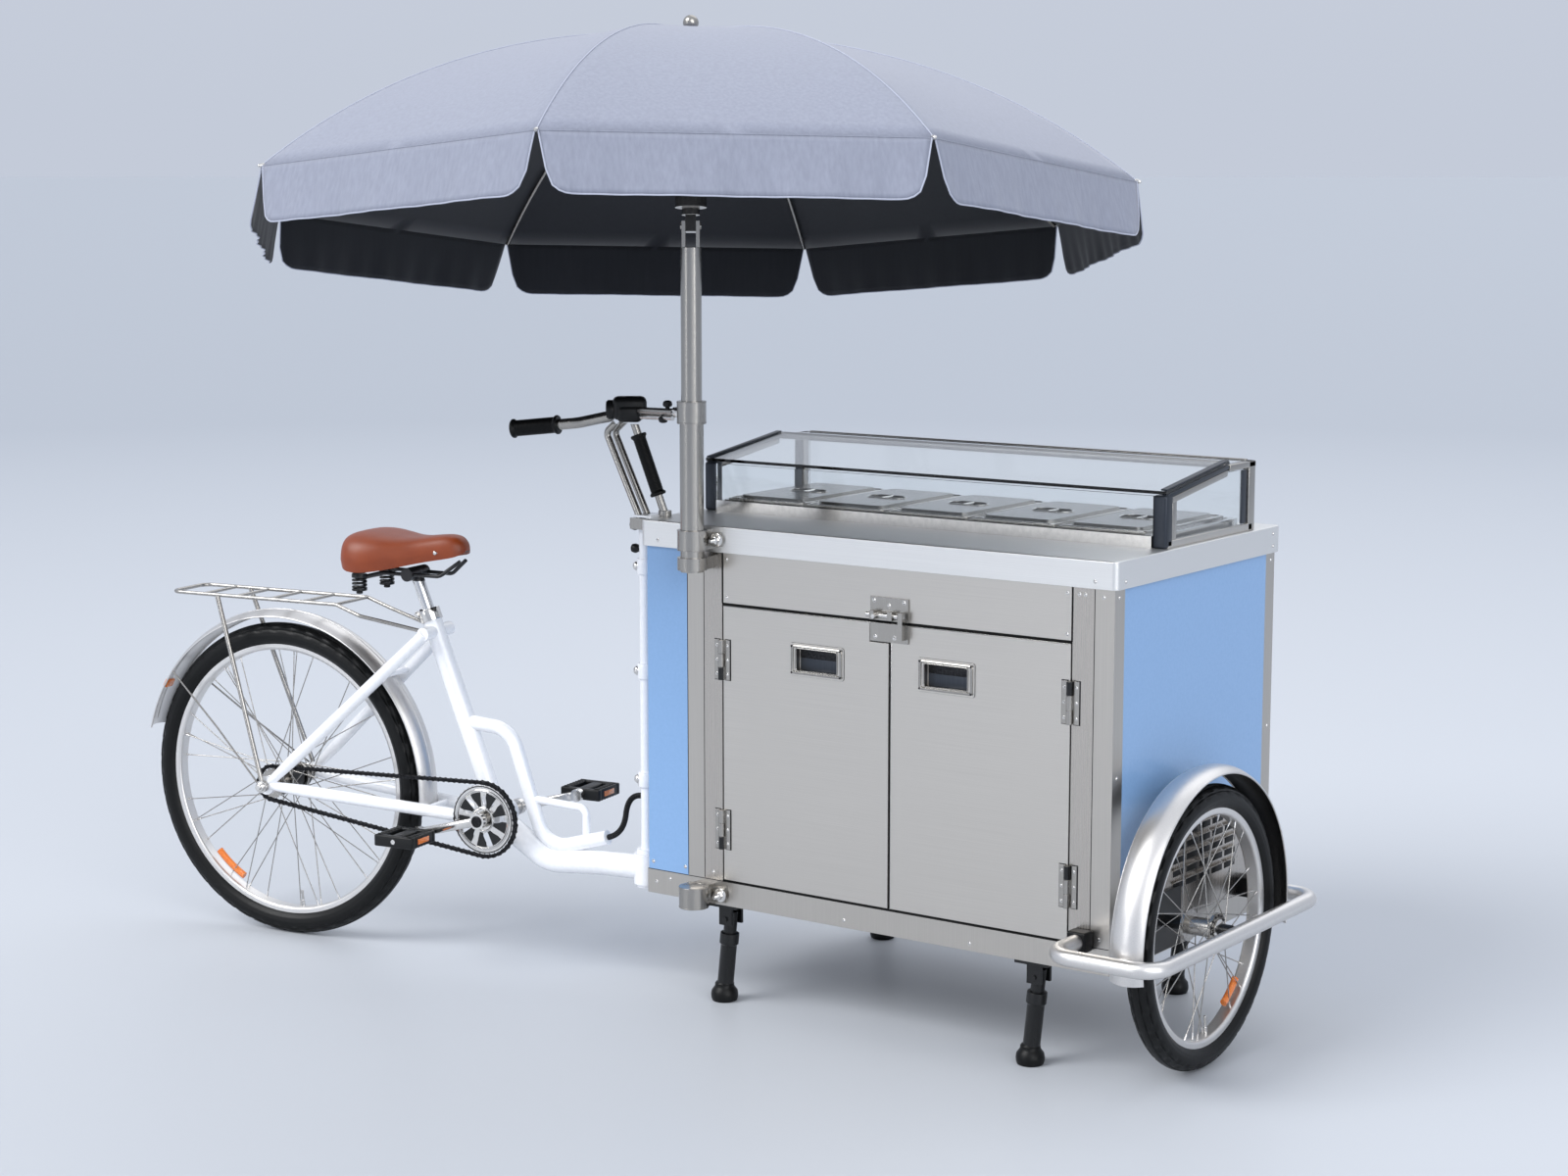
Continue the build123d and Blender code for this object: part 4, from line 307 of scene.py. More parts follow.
FINISH = {
    # Sheet steel brushed along the cart: long lines, drawn over 1 mm apart so that they show
    "steel": metal(
        "brushed_stainless_along", "#CAC6C0", "#C4C0BA", (0.285, 0.315), (300.0, 1.4, 1.4), 0.006, 0.9
    ),
    # Upright members brushed along their height, painted darker than the doors as painted shade
    "upright": metal(
        "brushed_stainless_upright", "#BFBBB5", "#B9B5AF", (0.285, 0.315), (1.4, 1.4, 300.0), 0.006, 0.9
    ),
    # Sheet of the door surround, brushed upright and painted a shade darker than the doors as painted shade
    "surround": metal(
        "brushed_stainless_surround", "#B9B4AE", "#B5B0AA", (0.26, 0.28), (0.6, 0.6, 260.0), 0.006, 0.9
    ),
    # Blasted and brushed worktop, softer in its shine than the doors, and painted paler than them as painted
    # light on the counter's edge
    "worktop": metal(
        "blasted_stainless_worktop_painted_light", "#E8E8E7", "#E2E2E1", (0.42, 0.44), (260.0, 0.6, 0.6), 0.006, 1.2
    ),
    # Drawn tube and pressed lids with a satin polish
    "satin": metal("satin_drawn_stainless", "#ABA8A3", "#A3A09B", (0.2, 0.27), (1.2, 1.2, 60.0), 0.05, 0.6),
    # Bright plate on small fittings
    "chrome": metal("bright_nickel_plate", "#DEDCD9", "#D2D0CD", (0.1, 0.18), (9.0, 9.0, 9.0), 0.04, 0.4),
    # Plated wire of spokes and rack: the same plate painted darker, as painted shade for thin wire that reads
    # darker than the plate
    "wire": metal("nickel_plated_wire", "#B4B1AC", "#9E9B97", (0.2, 0.28), (6.0, 6.0, 6.0), 0.03),
    # Anodised aluminium of fenders, rims and the bumper: pale and soft in its shine
    "aluminium": metal(
        "satin_anodised_aluminium", "#E2E0DE", "#DAD8D6", (0.34, 0.4), (2.0, 2.0, 2.0), 0.06, 0.6
    ),
    # Oiled dark steel of the chain, also the dark of the painted shade in the pulls, behind the hinge leaves
    # and in the lids' cups
    "oiled_steel_and_painted_shade": metal("oiled_dark_steel_and_painted_shade", "#3A3A3C", "#222224", (0.28, 0.45), (4.0, 4.0, 4.0), 0.1, 0.3),
    # Slate coloured extrusion of the case's front caps, between metal and coating in its shine; also the
    # painted shade low in the pulls' recesses
    "slate": surface(
        "slate_anodised_extrusion", "#3B4048", "#31363E", (0.32, 0.42), (1.0, 1.0, 90.0), 0.08, 0.6, 0.8
    ),
    # Blue coated sheet with the faint peel of sprayed paint
    "blue": coated("sprayed_blue_sheet", "#83A8D3", "#7FA4CF", (0.3, 0.38), 6.0, 0.03, 0.8, 0.25),
    # White stoved enamel: glossy, with slight peel
    "white": coated("stoved_white_enamel", "#F6F7FA", "#F0F2F6", (0.16, 0.24), 8.0, 0.03, 0.6, 0.8),
    # Black coated steel of legs and brackets; also the painted shade in the chainring's windows and the
    # painted dark reflection on some hinge knuckles
    "black": coated("black_powder_coat", "#141517", "#0D0E0F", (0.26, 0.36), 1.2, 0.06, 0.6, 0.0, 0.4),
    # Moulded black plastic with a fine spark grain
    "plastic": coated("grained_black_plastic", "#131415", "#0C0D0E", (0.34, 0.44), 0.8, 0.15, 0.5, 0.0, 0.3),
    # Vulcanised tyre rubber, dull with a dusty bloom; also the black of the painted shade along the door gaps
    # and in the vent's slots
    "rubber": coated("vulcanised_tyre_rubber", "#0E0F10", "#090A0A", (0.36, 0.46), 3.0, 0.08, gloss=0.22),
    "leather": leather(),
    # The canopy's grey outside, its dark inside, and the paler tape that binds its edges
    "cloth": woven("grey_umbrella_cloth", "#979CAC", "#7F8392", 0.85),
    "lining": woven("dark_umbrella_lining", "#23252C", "#191B21", 0.9),
    "piping": woven("pale_bias_binding", "#B4B9C8", "#A5AABA", 0.8),
    "glass": glass(),
    "reflector": reflector(),
    "post": post_and_springs(),
}
NODE_FINISH = {
    "worktop": "counter",
    "steel": "fascia left_door right_door shelf left_pull right_pull case_frames",
    "upright": "cabinet_frame",
    "surround": "carcass",
    "satin": "hinge_cabinet_leaves hinge_left_leaves hinge_right_leaves latch_plate latch_keeper pole_clamps "
    "pole_sleeve upper_pole umbrella_hub handlebar umbrella_struts umbrella_ribs "
    "pan_lid_1 pan_lid_2 pan_lid_3 pan_lid_4 pan_lid_5",
    "chrome": "latch_bolt crankset pans",
    "wire": "front_spokes rear_spokes rack",
    "post": "seat_post",
    "aluminium": "bumper front_rim rear_rim front_fender rear_fender",
    "blue": "blue_panels",
    "white": "column cycle_frame",
    "black": "compressor leg_brackets leg_1 leg_2 leg_3 leg_4 front_axle",
    "oiled_steel_and_painted_shade": "chain",
    "plastic": "grips pedal_near pedal_far cable_hose",
    "rubber": "front_tyre rear_tyre",
    "leather": "saddle",
    "cloth": "canopy",
    "glass": "case_glass glass_lid",
}


# Drawing
def circle(sides):
    """Angles round a circle."""
    return [2 * pi * k / sides for k in range(sides)]


class Shape:
    """Collects the faces of one finished piece, drawn in millimetres of its group's frame."""

    def __init__(self, name, group):
        self.name = name
        self.group = group
        self.mesh = bmesh.new()
        self.used = []

    def slot_of(self, finish):
        """The material index of a finish in this piece."""
        if finish not in self.used:
            self.used.append(finish)
        return self.used.index(finish)

    def grid(self, rows, finish, round_rows=False, round_columns=False):
        """Faces between rows of points, closed round either way if asked."""
        index = self.slot_of(finish)
        made = [[self.mesh.verts.new(point) for point in row] for row in rows]
        count, width = len(made), len(made[0])
        for i in range(count if round_rows else count - 1):
            for j in range(width if round_columns else width - 1):
                a, b = made[i], made[(i + 1) % count]
                k = (j + 1) % width
                self.mesh.faces.new((a[j], a[k], b[k], b[j])).material_index = index
        return made

    def cap(self, ring, finish):
        """One face across a ring of vertices."""
        self.mesh.faces.new(ring).material_index = self.slot_of(finish)

    def skin(self, rings, finish, closed=False):
        """Faces round rings of points, with flat ends unless the rings close on themselves."""
        made = self.grid(rings, finish, round_rows=closed, round_columns=True)
        if not closed:
            self.cap(made[0][::-1], finish)
            self.cap(made[-1], finish)

    def tube(self, points, radius, finish, sides=8, closed=False):
        """A round tube along points, of one radius or a radius for each point."""
        points = [Vector(p) for p in points]
        count = len(points)
        radii = radius if isinstance(radius, list) else [radius] * count
        rings = []
        up = None
        for i, point in enumerate(points):
            before = points[i - 1] if i or closed else point
            after = points[(i + 1) % count] if i < count - 1 or closed else point
            way = (after - before).normalized()
            if up is None:
                up = way.orthogonal().normalized()
            up = (up - way * up.dot(way)).normalized()
            side = way.cross(up)
            rings.append([point + radii[i] * (up * cos(t) + side * sin(t)) for t in circle(sides)])
        self.skin(rings, finish, closed)

    def lathe(self, profile, finish, at=(0, 0, 0), along=UP, sides=32):
        """A turned form: pairs of radius and distance about an axis."""
        spin = Vector(UP).rotation_difference(Vector(along)).to_matrix()
        rings = [
            [Vector(at) + spin @ Vector((radius * cos(t), radius * sin(t), reach)) for t in circle(sides)]
            for radius, reach in profile
        ]
        self.skin(rings, finish)

    def block(self, size, at, finish, soft=1.0, turn=None):
        """A box with softened edges."""
        index = self.slot_of(finish)
        spin = turn.to_4x4() if turn else Matrix.Identity(4)
        matrix = Matrix.Translation(at) @ spin @ Matrix.Diagonal((*size, 1.0))
        verts = bmesh.ops.create_cube(self.mesh, size=1.0, matrix=matrix)["verts"]
        for face in {f for v in verts for f in v.link_faces}:
            face.material_index = index
        edges = list({e for v in verts for e in v.link_edges})
        rounding = {"offset": soft, "segments": 3, "profile": 0.5, "affect": "EDGES", "material": index}
        bmesh.ops.bevel(self.mesh, geom=edges, **rounding)

    def done(self, body, slot, replaces=(), angle=38.0):
        """Turn the drawing into an object that rides on a body."""
        bmesh.ops.remove_doubles(self.mesh, verts=self.mesh.verts, dist=0.002)
        bmesh.ops.recalc_face_normals(self.mesh, faces=self.mesh.faces)
        self.mesh.transform(self.group)
        data = bpy.data.meshes.new(self.name)
        self.mesh.to_mesh(data)
        self.mesh.free()
        for finish in self.used:
            data.materials.append(FINISH[finish])
        soften(data, angle)
        return tie(add_object(self.name, data), body, slot, replaces)


def soften(data, angle):
    """Shade a mesh smooth, apart from edges sharper than an angle in degrees."""
    data.shade_smooth()
    data.set_sharp_from_angle(angle=radians(angle))


def add_object(name, data):
    """Link a new object into the scene."""
    made = bpy.data.objects.new(name, data)
    bpy.context.scene.collection.objects.link(made)
    return made


def tie(made, body, slot, replaces=()):
    """Tie a piece to the frame: its body and the nodes it stands for; the slot is not used."""
    if body:
        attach(made, body)
    if replaces:
        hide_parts(*replaces)
    return made


def to_plain_mesh(made):
    """Replace an object's mesh by its evaluated one and drop the modifiers."""
    bpy.context.view_layer.update()
    seen = made.evaluated_get(bpy.context.evaluated_depsgraph_get())
    plain = bpy.data.meshes.new_from_object(seen)
    made.modifiers.clear()
    made.data = plain


def ring_arc(radius, first, last, side, steps=60):
    """Points round a wheel's axle at one distance to the side, between two angles in degrees."""
    turns = [radians(first + (last - first) * k / steps) for k in range(steps + 1)]
    return [Vector((radius * cos(t), side, radius * sin(t))) for t in turns]


def rounded_loop(middle, half, tall, corner, lying):
    """A rounded rectangle of points round a middle, lying on the counter or standing on a door."""
    loop = []
    for k in range(48):
        turn = 2 * pi * (k + 0.5) / 48
        across = copysign(half - corner, cos(turn)) + corner * cos(turn)
        along = copysign(tall - corner, sin(turn)) + corner * sin(turn)
        loop.append(Vector(middle) + Vector((across, along, 0.0) if lying else (across, 0.0, along)))
    return loop


# Repeats made by geometry nodes
def start_tree(name, sockets=()):
    """A geometry node tree with its inputs, and the mesh to points that it starts from."""
    tree = bpy.data.node_groups.new(name, "GeometryNodeTree")
    for label, kind in (("Geometry", "NodeSocketGeometry"), *sockets):
        tree.interface.new_socket(label, in_out="INPUT", socket_type=kind)
    tree.interface.new_socket("Geometry", in_out="OUTPUT", socket_type="NodeSocketGeometry")
    given = add_node(tree, "NodeGroupInput").outputs
    points = add_node(tree, "GeometryNodeMeshToPoints", {"Mesh": given[0]}).outputs[0]
    return tree, given, points


def end_tree(tree, placed, material):
    """Make the placed copies real, give them their material and put them out."""
    real = add_node(tree, "GeometryNodeRealizeInstances", {0: placed}).outputs[0]
    painted = add_node(tree, "GeometryNodeSetMaterial", {0: real, "Material": material})
    add_node(tree, "NodeGroupOutput", {0: painted.outputs[0]})
    return tree


def named(tree, name, kind):
    """A named attribute of the points."""
    return add_node(tree, "GeometryNodeInputNamedAttribute", {"Name": name}, data_type=kind).outputs[0]


def heads_tree():
    """Geometry nodes that set a head with its washer on every point, turned to face outwards."""
    sizes = [(name, "NodeSocketFloat") for name in ("Radius", "Top", "Height", "Washer")]
    sockets = (("Sides", "NodeSocketInt"), *sizes, ("Material", "NodeSocketMaterial"))
    tree, given, points = start_tree("heads_on_points", sockets)
    radius, height = given["Radius"], given["Height"]
    cone = {
        "Vertices": given["Sides"],
        "Radius Top": maths(tree, "MULTIPLY", radius, given["Top"]),
        "Radius Bottom": radius,
        "Depth": height,
    }
    disc = {
        "Vertices": 24,
        "Radius": maths(tree, "MULTIPLY", radius, given["Washer"]),
        "Depth": maths(tree, "MULTIPLY", height, 0.3),
    }
    both = add_node(tree, "GeometryNodeJoinGeometry")
    for kind, inputs in (("Cone", cone), ("Cylinder", disc)):
        feed(tree, both, {0: add_node(tree, f"GeometryNodeMesh{kind}", inputs).outputs["Mesh"]})
    facing = {"Vector": named(tree, "facing", "FLOAT_VECTOR")}
    turned = add_node(tree, "FunctionNodeAlignRotationToVector", facing, axis="Z").outputs[0]
    copies = {"Points": points, "Instance": both.outputs[0], "Rotation": turned}
    placed = add_node(tree, "GeometryNodeInstanceOnPoints", copies).outputs[0]
    return end_tree(tree, placed, given["Material"])


def links_tree(pitch):
    """Geometry nodes that set a wide or a narrow link of the chain on every point."""
    tree, _, points = start_tree("links_on_points")
    turn = named(tree, "turn", "FLOAT_VECTOR")
    turned = add_node(tree, "FunctionNodeEulerToRotation", {0: turn}).outputs[0]
    wide = named(tree, "wide", "BOOLEAN")
    narrow = add_node(tree, "FunctionNodeBooleanMath", {0: wide}, operation="NOT").outputs[0]
    everything = add_node(tree, "GeometryNodeJoinGeometry")
    ends = (-pitch / 2, pitch / 2)
    boss = ("Cylinder", {"Vertices": 12, "Radius": 0.0044, "Depth": 0.001})
    plate = ("Cube", {"Size": (pitch, 0.001, 0.0064)})
    roller = ("Cylinder", {"Vertices": 12, "Radius": 0.0034, "Depth": 0.0052})
    for chosen, half in ((wide, 0.0038), (narrow, 0.0026)):
        pieces = [(*boss, (x, y, 0.0)) for x in ends for y in (-half, half)]
        pieces += [(*plate, (0.0, y, 0.0)) for y in (-half, half)]
        if chosen == narrow:
            pieces += [(*roller, (x, 0.0, 0.0)) for x in ends]
        link = add_node(tree, "GeometryNodeJoinGeometry")
        for kind, size, spot in pieces:
            part = add_node(tree, f"GeometryNodeMesh{kind}", size).outputs[0]
            tilt = (pi / 2, 0.0, 0.0) if kind == "Cylinder" else (0.0, 0.0, 0.0)
            moves = {"Geometry": part, "Translation": spot, "Rotation": tilt}
            feed(tree, link, {0: add_node(tree, "GeometryNodeTransform", moves).outputs[0]})
        copies = {"Points": points, "Selection": chosen, "Instance": link.outputs[0], "Rotation": turned}
        feed(tree, everything, {0: add_node(tree, "GeometryNodeInstanceOnPoints", copies).outputs[0]})
    return end_tree(tree, everything.outputs[0], FINISH["oiled_steel_and_painted_shade"])


def grow(name, data, tree, values, *tied):
    """Run geometry nodes on a mesh of points, keep the result as a plain mesh and tie it to the frame."""
    made = add_object(name, data)
    nodes = made.modifiers.new("repeats", "NODES")
    nodes.node_group = tree
    for item in tree.interface.items_tree:
        if item.in_out == "INPUT" and item.name in values:
            nodes[item.identifier] = values[item.name]
    to_plain_mesh(made)
    soften(made.data, 40)
    return tie(made, *tied)


def scatter(name, group, spots, size, body, slot="steel", sides=20, top=0.5, washer=1.25):
    """Plated heads on a body: spots are (point, facing) in the group's frame, size is (radius, height)."""
    data = bpy.data.meshes.new(name)
    data.from_pydata([group @ Vector(point) for point, _ in spots], [], [])
    facing = data.attributes.new("facing", "FLOAT_VECTOR", "POINT")
    spin = group.to_3x3()
    for index, (_, way) in enumerate(spots):
        facing.data[index].vector = (spin @ Vector(way)).normalized()
    radius, height = (length / 1000 for length in size)
    values = {"Sides": sides, "Radius": radius, "Top": top, "Height": height, "Washer": washer}
    values["Material"] = FINISH["chrome"]
    tree = bpy.data.node_groups.get("heads_on_points") or heads_tree()
    return grow(name, data, tree, values, body, slot)


# Settings shown in the sidebar
def length_setting(name, description, default):
    """A length in metres that can be set."""
    said = {"name": name, "description": description, "default": default}
    return bpy.props.FloatProperty(**said, min=0.0, unit="LENGTH")


class CartSettings(bpy.types.PropertyGroup):
    """Sizes that the looks can be tuned by."""

    canopy_sag: length_setting("Canopy sag", "How far the cloth dips between two ribs", 0.005)
    valance_wave: length_setting("Valance wave", "How far the hem of the valance stands in and out", 0.0034)
    tread_depth: length_setting("Tread depth", "Depth of the tyre's grooves", 0.0022)
    key_power: bpy.props.FloatProperty(
        name="Key light", description="Strength of the large soft light over the cart", default=2.1, min=0.0
    )


# Operators, one for each group of like pieces
class CART_OT_camera(bpy.types.Operator):
    """Set the camera that matches the photograph"""

    bl_idname = "cart.camera"
    bl_label = "Camera"

    def execute(self, context):
        data = bpy.data.cameras.new("photo_camera")
        data.lens = 65.7
        data.sensor_width = 36.0
        data.shift_x = 0.0009
        data.shift_y = -0.0069
        data.clip_end = 900.0
        camera = add_object("photo_camera", data)
        camera.location = CABINET @ Vector((3453.6, -4361.2, 1635.8))
        camera.rotation_euler = (radians(81.8), 0.0, radians(35.5))
        context.scene.camera = camera
        return {"FINISHED"}


class CART_OT_finishes(bpy.types.Operator):
    """Give every solid piece of the frame its finish"""

    bl_idname = "cart.finishes"
    bl_label = "Finishes"

    def execute(self, context):
        finish_of = {node: finish for finish, names in NODE_FINISH.items() for node in names.split()}
        for name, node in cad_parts.items():
            node.data.materials.clear()
            node.data.materials.append(FINISH[finish_of[name]])
        return {"FINISHED"}


def canopy_height(reach):
    """Height of the canopy out along a rib, above the tilt pin."""
    half = radians(180 / RIB_COUNT)
    flat = RIM_RADIUS * cos(half)
    bow = (flat**2 + CANOPY_RISE**2) / (2 * CANOPY_RISE)
    return RIM_HEIGHT + CANOPY_RISE - bow + sqrt(bow**2 - (reach * cos(half)) ** 2)


def rib_point(rib, reach):
    """A point of the canopy over a rib."""
    turn = radians(RIB_TURN + rib * 360 / RIB_COUNT)
    return Vector((reach * cos(turn), reach * sin(turn), canopy_height(reach)))


def gore(rib, sag, steps=26, columns=22):
    """Rows of points of one gore, which dips between its two ribs."""
    rows = []
    for i in range(steps + 1):
        reach = CROWN_RADIUS + (RIM_RADIUS - CROWN_RADIUS) * i / steps
        start, end = rib_point(rib, reach), rib_point(rib + 1, reach)
        row = []
        for j in range(columns + 1):
            share = j / columns
            point = start.lerp(end, share)
            point.z -= sag * 4 * share * (1 - share) * sin(pi * (i / steps) ** 1.6)
            row.append(point)
        rows.append(row)
    return rows


def valance(rib, start, end, wave, steps=10, columns=60, corner=40.0, notch=15.0, gap=3):
    """Rows of points of one valance, which flares, ripples and is rounded at its lower corners."""
    middle = (start + end) / 2
    way = (end - start).normalized()
    out = Vector((middle.x, middle.y, 0)).normalized()
    half = (end - start).length / 2
    flare = radians(VALANCE_FLARE)
    rows = []
    for i in range(steps + 1):
        share = i / steps
        row = []
        for j in range(columns + 1):
            across = -1 + 2 * j / columns
            along = across * (half - gap - (notch - gap) * share)
            over = max(0.0, abs(along) - (half - notch - corner))
            drop = VALANCE_HEIGHT - corner + sqrt(max(0.0, corner**2 - min(over, corner) ** 2))
            ripple = share**1.5 * wave * (sin(9 * across + 2.1 * rib) + 0.5 * sin(31 * across + rib))
            fall = drop * share
            lean = Vector((0, 0, -fall * cos(flare))) + out * (ripple + fall * sin(flare))
            row.append(middle + way * along + lean)
        rows.append(row)
    return rows


class CART_OT_canopy(bpy.types.Operator):
    """Sew the umbrella's canopy from eight gores, each with its valance, and bind its edges"""

    bl_idname = "cart.canopy"
    bl_label = "Canopy"

    def execute(self, context):
        settings = context.scene.cart
        cloth = Shape("canopy_cloth", HEAD)
        binding = Shape("canopy_binding", HEAD)
        tip_cap = [(1.5, -10), (3.4, -8), (3.8, -2), (3.2, 2), (1.4, 4)]
        for rib in range(RIB_COUNT):
            cloth.grid(gore(rib, settings.canopy_sag * 1000), "cloth")
            start, end = rib_point(rib, RIM_RADIUS), rib_point(rib + 1, RIM_RADIUS)
            flap = valance(rib, start, end, settings.valance_wave * 1000)
            cloth.grid(flap, "cloth")
            edge = [row[0] for row in flap] + flap[-1][1:-1] + [row[-1] for row in flap[::-1]]
            binding.tube(edge, 1.4, "piping")
            reaches = [CROWN_RADIUS + (RIM_RADIUS - CROWN_RADIUS) * i / 40 for i in range(41)]
            binding.tube([rib_point(rib, reach) + Vector((0, 0, 0.6)) for reach in reaches], 1.1, "piping")
            middle = (start + end) / 2
            out = Vector((middle.x, middle.y, 0)).normalized()
            binding.tube([point + out * 0.1 for point in (start, middle, end)], 0.8, "cloth")
            tip = start + Vector((start.x, start.y, 0)).normalized() * 3
            binding.lathe(tip_cap, "chrome", tip, (tip.x, tip.y, -260), 16)
        cover = cloth.done("umbrella", "canopy_cloth", ["canopy"], 60.0)
        thick = cover.modifiers.new("cloth thickness", "SOLIDIFY")
        thick.thickness = 0.0012
        thick.offset = -1.0
        thick.material_offset = 1
        thick.material_offset_rim = 0
        cover.data.materials.append(FINISH["lining"])
        to_plain_mesh(cover)
        hems = binding.done("umbrella", "canopy_cloth")
        return {"FINISHED"}

    @staticmethod
    def flat_area():
        """Area of one gore and its valance, in square metres."""
        total = 0.0
        for i in range(60):
            low, high = [RIM_RADIUS * (i + k) / 60 for k in (0, 1)]
            slope = hypot(high - low, canopy_height(high) - canopy_height(low)) * 0.95
            total += slope * (low + high) * sin(radians(180 / RIB_COUNT))
        return (total + VALANCE_HEIGHT * 1.9 * RIM_RADIUS * sin(radians(180 / RIB_COUNT))) / 1e6


# Cross sections along the saddle, from its back to its nose: place, half width, top and lower edge
SADDLE = [
    (-688, 24, 866, 842),
    (-684, 60, 877, 826),
    (-673, 86, 888, 815),
    (-652, 101, 894, 809),
    (-622, 103, 894, 808),
    (-588, 94, 889, 812),
    (-552, 76, 884, 819),
    (-518, 58, 883, 827),
    (-484, 45, 886, 834),
    (-454, 37, 888, 839),
    (-434, 30, 884, 843),
    (-422, 20, 874, 848),
    (-417, 8, 863, 854),
]
SPRING_PLACE = -650


def smoothed(stations, parts=4, passes=3):
    """Stations divided into parts and evened out, with both ends held."""
    fine = []
    for a, b in zip(stations, stations[1:]):
        fine += [[x + (y - x) * k / parts for x, y in zip(a, b)] for k in range(parts)]
    fine.append(stations[-1])
    for _ in range(passes):
        inner = zip(fine, fine[1:], fine[2:])
        even = [[(p + 2 * q + r) / 4 for p, q, r in zip(*three)] for three in inner]
        fine = [fine[0], *even, fine[-1]]
    return fine


def saddle_section(x, half, top, low, parts=32):
    """Points across the saddle, with a dish along its middle and a lip turned in at each edge."""
    row = []
    for j in range(parts + 1):
        turn = pi * j / parts
        side = -cos(turn)
        y = half * (abs(side) ** 0.72) * (1 if side > 0 else -1)
        z = low + (top - low) * sin(turn) ** 0.62
        if j in (0, parts):
            y *= 0.94
        dish = 6.0 * (1 - side**2) ** 2 * max(0.0, min(1.0, (half - 30) / 50))
        row.append(Vector((x, y, z - dish)))
    lips = [Vector((x, 0.86 * row[k].y, low + 13 * (top - low) / 85)) for k in (0, -1)]
    return [lips[0], *row, lips[1]]


class CART_OT_saddle(bpy.types.Operator):
    """Cover the saddle in leather, with a broad rear and a narrow nose, on two coil springs"""

    bl_idname = "cart.saddle"
    bl_label = "Saddle"

    def execute(self, context):
        seat = Shape("saddle_leather", CYCLE)
        made = seat.grid([saddle_section(*station) for station in smoothed(SADDLE)], "leather")
        seat.cap([row[0] for row in made] + [row[-1] for row in reversed(made)], "plastic")
        cup = [(6, 0), (15.5, 0.6), (16, 2.6), (15.5, 4.4), (6, 5)]
        nut = [(5, 0), (7.5, 1), (7.5, 6), (5, 7)]
        for side in (-50.0, 50.0):
            coil = []
            for k in range(64):
                turn = 2 * pi * k / 16
                coil.append((SPRING_PLACE + 13.5 * cos(turn), side + 13.5 * sin(turn), 768 + 28 * k / 63))
            seat.tube(coil, 2.7, "black")
            for height in (764.0, 795.0):
                seat.lathe(cup, "black", (SPRING_PLACE, side, height), UP, 28)
            seat.lathe(nut, "black", (SPRING_PLACE, side, 757.5), UP, 6)
        for x, half, height in ((-655, 93, 832), (-470, 40, 852)):
            for side in (-1, 1):
                rivet = [(4.6, -2), (4.6, 1.2), (2.6, 3.0)]
                seat.lathe(rivet, "chrome", (x, side * half, height), (0, side, -0.1), 16)
        for end in (made[0], made[-1]):
            seat.cap(list(end), "leather")
        cover = seat.done("seat", "leather", ["saddle"], 70.0)
        return {"FINISHED"}


class CART_OT_tyres(bpy.types.Operator):
    """Mould both tyres with their tread and sidewall rings"""

    bl_idname = "cart.tyres"
    bl_label = "Tyres"

    def execute(self, context):
        for wheel in WHEELS:
            self.mould(wheel, context.scene.cart.tread_depth * 1000)
        return {"FINISHED"}

    @staticmethod
    def mould(wheel, depth, lanes=47, bead=15.0):
        """One tyre about its own axle, with lanes of tread across it and an open bead at the rim."""
        tyre = Shape(f"{wheel.name}_tyre_rubber", wheel.group)
        middle, round_radius = wheel.radius - wheel.tyre / 2, wheel.tyre / 2
        reach = degrees(pi - asin(min(1.0, bead / round_radius)))
        rows = []
        for i in range(wheel.tread):
            turn = 2 * pi * i / wheel.tread
            row = []
            for k in range(lanes):
                out = round_radius
                lane = abs(k - lanes // 2)
                cross_groove = 3 < lane < 12 and (i + 2 * (lane // 4)) % 6 == 0
                if lane in (3, 9) or cross_groove:
                    out -= depth
                if lane in (15, 18):
                    out += 0.5
                side = radians(-reach + 2 * reach * k / (lanes - 1))
                far = middle + out * cos(side)
                row.append(Vector((far * cos(turn), out * sin(side), far * sin(turn))))
            rows.append(row)
        tyre.grid(rows, "rubber", round_rows=True, round_columns=True)
        tyre.done(f"{wheel.name}_wheel", "tyre", [f"{wheel.name}_tyre"], 34.0)


